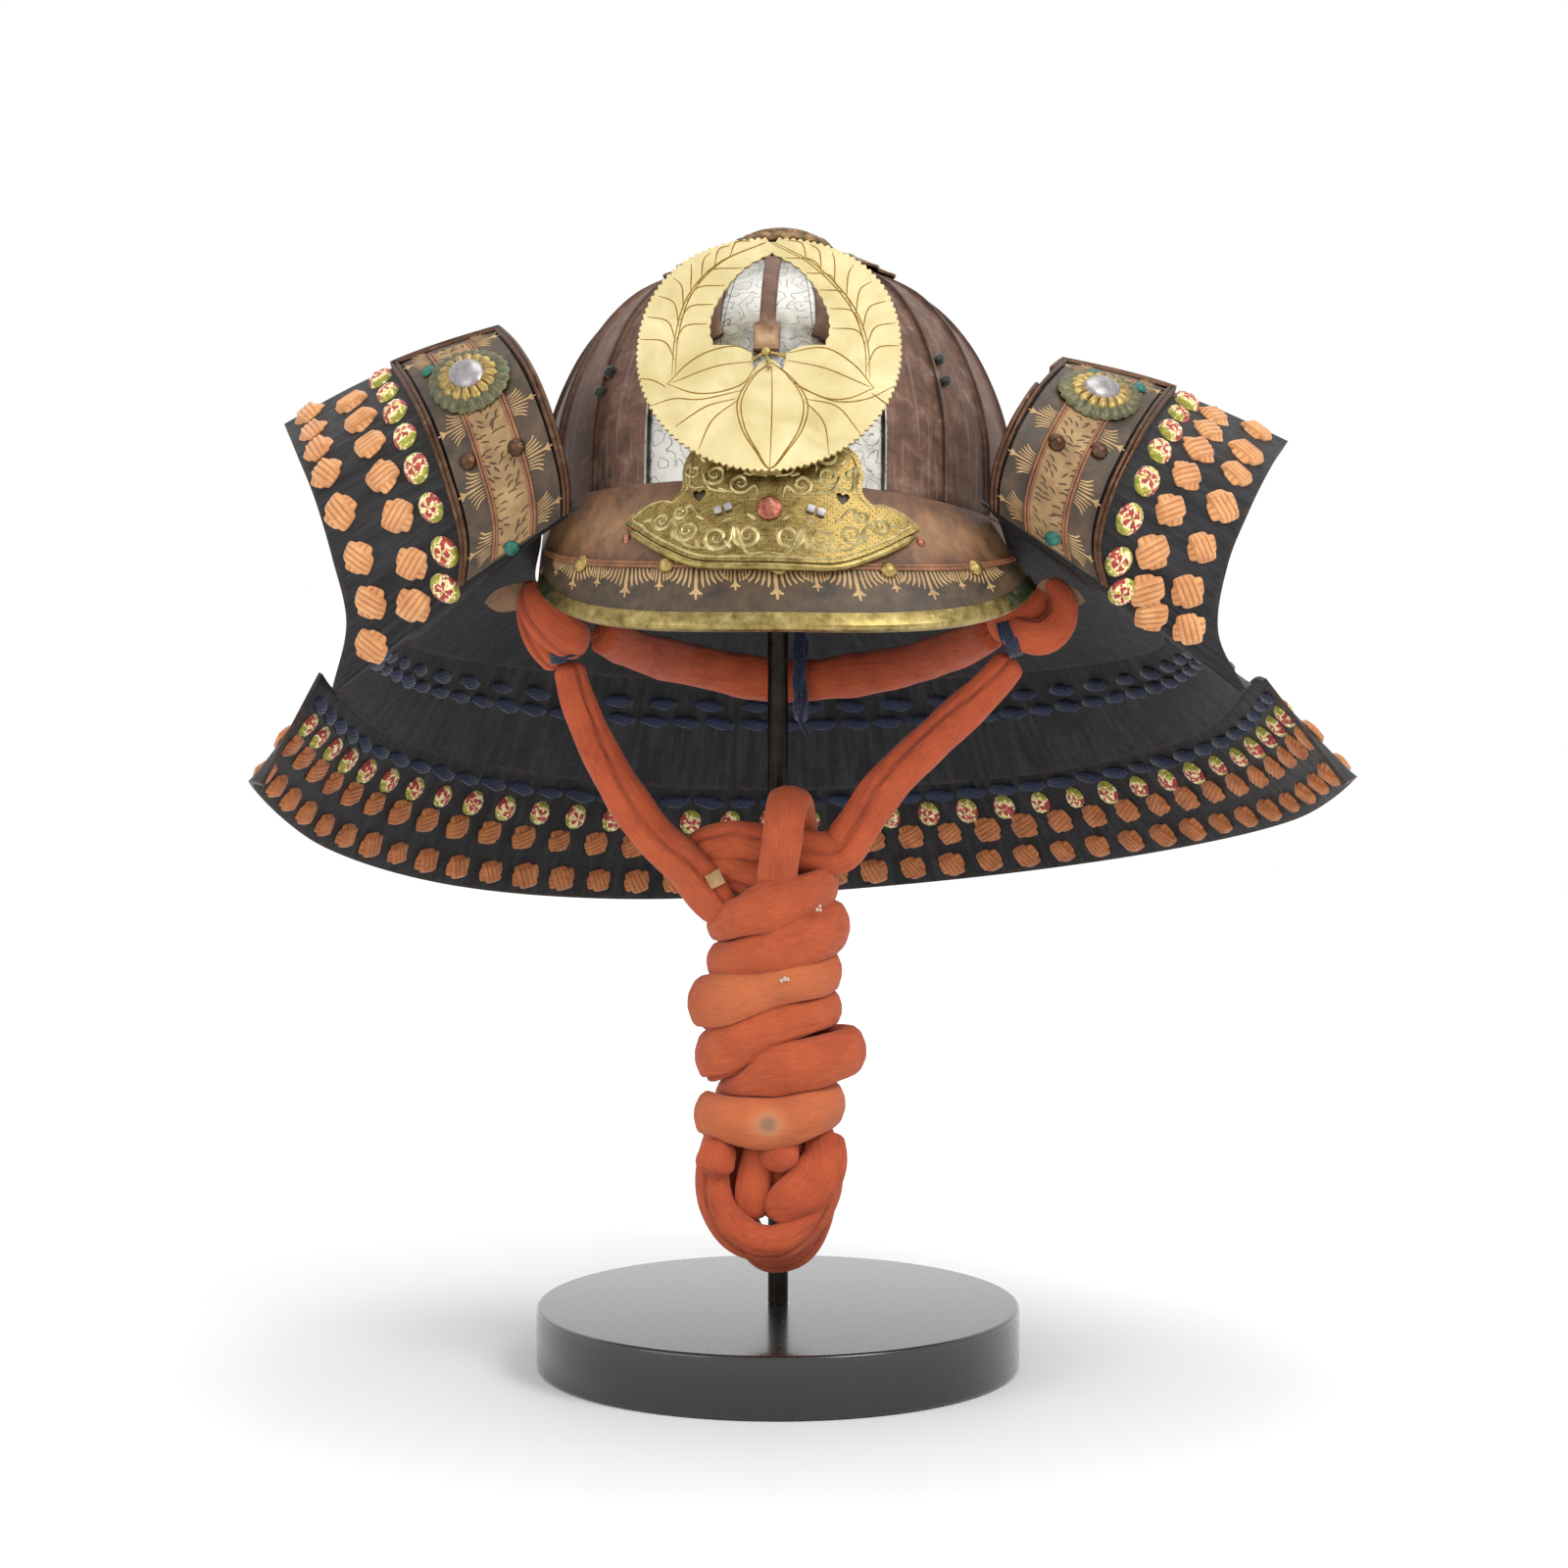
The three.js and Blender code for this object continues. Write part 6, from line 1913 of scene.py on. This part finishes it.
def widths(points, *half):
    """Route points with half widths spread evenly along them."""
    w = np.interp(np.linspace(0, 1, len(points)), np.linspace(0, 1, len(half)), half)
    return [(*p, k) for p, k in zip(points, w)]


def swag():
    """The stretch that hangs behind, from tab to tab."""
    path, wide = routed(widths(SWAG, 8.5, 10.5, 11, 10.5, 8.5), 360)
    out = unit(path - (0, 10, 330))
    return path, crinkled(path, wide, out, 0.8, 0.4, crease=0.5)


def leg(points, tail, half, seed, crease):
    """A stretch from a tab down into the hank, rubbed paler at its lower end."""
    path, wide = routed(widths(points + tail, *half), 260)
    return path, crinkled(path, wide, FORWARD + 0 * path, 0.68, seed, crease, taper=(5, 7),
                          tone=0.12 * smooth(path[:, 2:], 300, 250))


def wound():
    """The six turns from the lowest up, then the loop that goes behind the legs, over them and down
    in front, under the first turn."""
    stations = []
    for x_left, z_left, z_mid, x_right, z_right, proud, w_left, w_mid, w_right in TURNS[::-1]:
        front = HANK_FRONT - proud
        left, right = x_left + BAND_HALF, x_right - BAND_HALF
        stations += [
            (left, HANK_Y + 2, z_left, w_left),
            (left * 0.62, front + 3.4, blend_to(z_left, z_mid, 0.42), w_left),
            (0, front, z_mid, w_mid), (right * 0.66, front + 3.0, blend_to(z_mid, z_right, 0.66), w_right),
            (right, HANK_Y + 1, z_right, w_right), (right * 0.6, HANK_BACK, z_right - 1, 11),
            (0, HANK_BACK - 1, z_right + 1, 11), (left * 0.6, HANK_BACK, z_right + 2, 11)]
    stations = stations[:-3]
    stations += [(17, -31, 252, 10), (12, -33, 266, 10), (10, -40, 281, 10), (8, -52, 288, 10.5),
                 (6.5, -61, 281, 10.5), (5, -63, 268, 10.5), (3, -61, 253, 10), (2, -52, 240, 9)]
    path, wide = routed(stations, 1400)
    centre = path * (1, 0, 1) + (0, HANK_Y, 0)
    centre[:, 0] *= 0.35
    out = path - centre
    out[:, 2] = 0
    top = path[:, 2] > 250
    out = np.where(top[:, None], path - (9, -47, 262), out)
    worn = 0.1 + 0.25 * smooth(np.abs(path[:, 2] - 197), 16, 4) * smooth(-path[:, 1], 40, 60)
    worn += 0.2 * smooth(np.abs(path[:, 2] - 134), 12, 4)
    stain = np.exp(-((path[:, 0] + 1) / 6) ** 2 - ((path[:, 2] - 132) / 6) ** 2) * smooth(-path[:, 1], 55, 60)
    around = np.linspace(0, 2 * PI, CORD_SIDES, endpoint=False)
    stain = stain[:, None] * np.exp(-((around - PI - 0.1) / 0.42) ** 2)
    return path, crinkled(path, wide, unit(out), 0.64, 2.2, crease=-1.25, taper=(6, 6),
                          tone=worn[:, None] + 1.3 * stain)


LOOPS = [
    (-4, -44, 232, 9), (-4, -44, 190, 9), (-10, -44, 150, 9), (-24, -49, 126, 9), (-29, -52, 108, 9.5),
    (-26, -56, 90, 10), (-13, -60, 76, 10.5), (3, -60, 73.5, 10.5), (18, -54, 84, 10), (25, -48, 102, 10),
    (22, -42, 122, 9), (12, -38, 138, 9), (0, -34, 142, 9), (-14, -33, 128, 9), (-20, -34, 104, 9),
    (-16, -38, 82, 9), (-3, -42, 63.5, 9), (11, -42, 66, 9), (22, -38, 84, 9), (18, -36, 108, 9),
    (6, -38, 124, 9),
]


def loops():
    """The hank's core and the two long loops that hang below its turns."""
    path, wide = routed(LOOPS, 620)
    out = path - (-2, -30, 110)
    out[:, 1] = np.minimum(out[:, 1], -4)
    return path, crinkled(path, wide, unit(out), 0.85, 3.3, crease=0.4, taper=(6, 6))


def bights():
    """Ends of folds that show between the long loops and the lowest turn."""
    parts = []
    for stations, flat, seed in (
        ([(25, -48, 126, 9), (25, -55, 112, 11.5), (18, -59, 101, 12.5), (7, -61, 93, 11), (-2, -60, 87, 6)],
         0.6, 0.5),
        ([(-6, -52, 126, 5), (-8, -56, 110, 8), (-9, -57, 96, 9), (-8, -55, 84, 7)], 0.7, 1.9),
        ([(-24, -54, 121, 8), (-27, -60, 113, 9.5), (-28.5, -60, 106, 8.5)], 0.9, 4.0),
        ([(4, -52, 126, 8), (4, -59, 116, 9.5), (5, -60, 108, 7.5)], 0.9, 5.1),
        ([(6, -47, 128, 9), (6, -48, 110, 10.5), (3, -48, 92, 10.5), (1, -47, 82, 7)], 0.7, 6.2),
    ):
        path, wide = routed(stations, 60)
        parts.append(crinkled(path, wide, FORWARD + 0 * path, flat, seed, taper=(5, 6)))
    return join(*parts)


def knot(routes):
    """The cord's bights round its leather tab."""
    parts = []
    for stations, seed in routes:
        path, wide = routed(stations, 110)
        parts.append(crinkled(path, wide, FORWARD + 0 * path, 0.72, seed, crease=-0.9, taper=(4, 5)))
    return join(*parts)


def binding(centre, axis, radius, turns):
    """Thread wound round a neck of the cord, turn beside turn: a helix on an ellipse."""
    wire = 0.9
    axis = unit(np.array(axis, float))
    side, top = framed(np.stack([np.zeros(3), axis, 2 * axis]))
    t = np.linspace(0, 2 * PI * turns, 26 * turns)
    path = (np.array(centre, float) + side[0] * (radius[0] * np.cos(t))[:, None]
            + top[0] * (radius[1] * np.sin(t))[:, None]
            + axis * ((t / (2 * PI) - turns / 2) * 1.9 * wire)[:, None])
    return tube(path, wire, 8, size=(60, 6))


KNOT_LEFT = [
    ([(-116, -55, 393, 5), (-116, -52, 378, 7), (-110, -53, 363, 8), (-101, -55, 352, 7)], 0.3),
    ([(-115, -58, 392, 5), (-112, -64, 383, 9.5), (-105, -68, 374, 11), (-97, -66, 367, 10.5),
      (-90, -56, 364, 8)], 1.3),
]
KNOT_RIGHT = [
    ([(130, -53, 391, 5), (124, -58, 382, 8), (114, -60, 376, 9), (103, -58, 372, 9)], 2.2),
    ([(131, -56, 394, 4), (138, -60, 386, 6.5), (138, -63, 376, 7.5), (130, -65, 368, 8.5),
      (119, -65, 369, 8.5), (111, -62, 372, 8)], 3.1),
]
for name, routes in (("left", KNOT_LEFT), ("right", KNOT_RIGHT)):
    piece(f"knot_{name}", knot(routes), [CREPE], [f"chin_cord_knot_{name}"])
piece("binding_left", binding((-98.5, -58, 358), (0.25, 0, -1), (9.2, 7.5), 3), [NAVY])
piece("binding_right", binding((113.5, -62, 367), (1, 0, 0.35), (8.2, 9.0), 4), [NAVY])


def stuffing():
    """Tufts of cotton that stand out of tears in the first and third turns."""
    a, b = np.meshgrid(np.linspace(0, 2 * PI, 12, endpoint=False), np.linspace(0, PI, 7), indexing="ij")
    ball = grid(np.stack([np.cos(a) * np.sin(b), np.sin(a) * np.sin(b), np.cos(b)], -1), close_u=True)
    at = np.array([(22.5, -69, 237), (23.8, -67.3, 238.4), (24, -66, 236.4), (5.4, -67.4, 202.4),
                   (7, -67.3, 203.2), (8.4, -67, 203)], float)
    size = np.array([0.8, 0.7, 0.7, 0.9, 1.1, 0.8])[:, None]
    return stamp(ball, at, size * (1, 0, 0.3), size * (0, 1, 0), size * (-0.3, 0, 1.2))


def canvas_patch():
    """A patch of woven canvas sewn over the end of the left leg, folded a little along its diagonal."""
    x, z = np.meshgrid(np.linspace(-3.8, 3.8, 10), np.linspace(-3.6, 3.6, 10), indexing="ij")
    y = -60.5 + 0.045 * (x + z) ** 2 + 0.05 * z
    front = np.stack([-27 + x * 0.85 - z * 0.45, y, 250 + z * 0.85 + x * 0.45], -1)
    return slab(front, front + (0, 3.5, 0), size=(9, 8.4))


path, form = swag()
declare(piece("swag", form, [CREPE], ["chin_cord_swag"]), path, SWAG[0])
path, form = leg(LEG_LEFT, LEFT_END, (7.5, 9.5, 11, 11, 8.5), 1.1, 0.35)
declare(piece("leg_left", form, [CREPE], ["chin_cord_leg_left"]), path, LEG_LEFT[0],
        [piece("leg_patch", canvas_patch(), [CANVAS])])
path, form = leg(LEG_RIGHT, RIGHT_END, (8, 10.5, 11, 10, 9.5, 9), 2.3, -0.3)
declare(piece("leg_right", form, [CREPE], ["chin_cord_leg_right"]), path, LEG_RIGHT[0])
path, form = loops()
declare(piece("long_loops", form, [CREPE], ["chin_cord_hank"]), path, LOOPS[0][:3],
        [piece("fold_ends", bights(), [CREPE])])
path, form = wound()
declare(piece("wound_turns", form, [CREPE], ["chin_cord_hank"]), path, path[0],
        [piece("torn_stuffing", stuffing(), [STUFFING])])
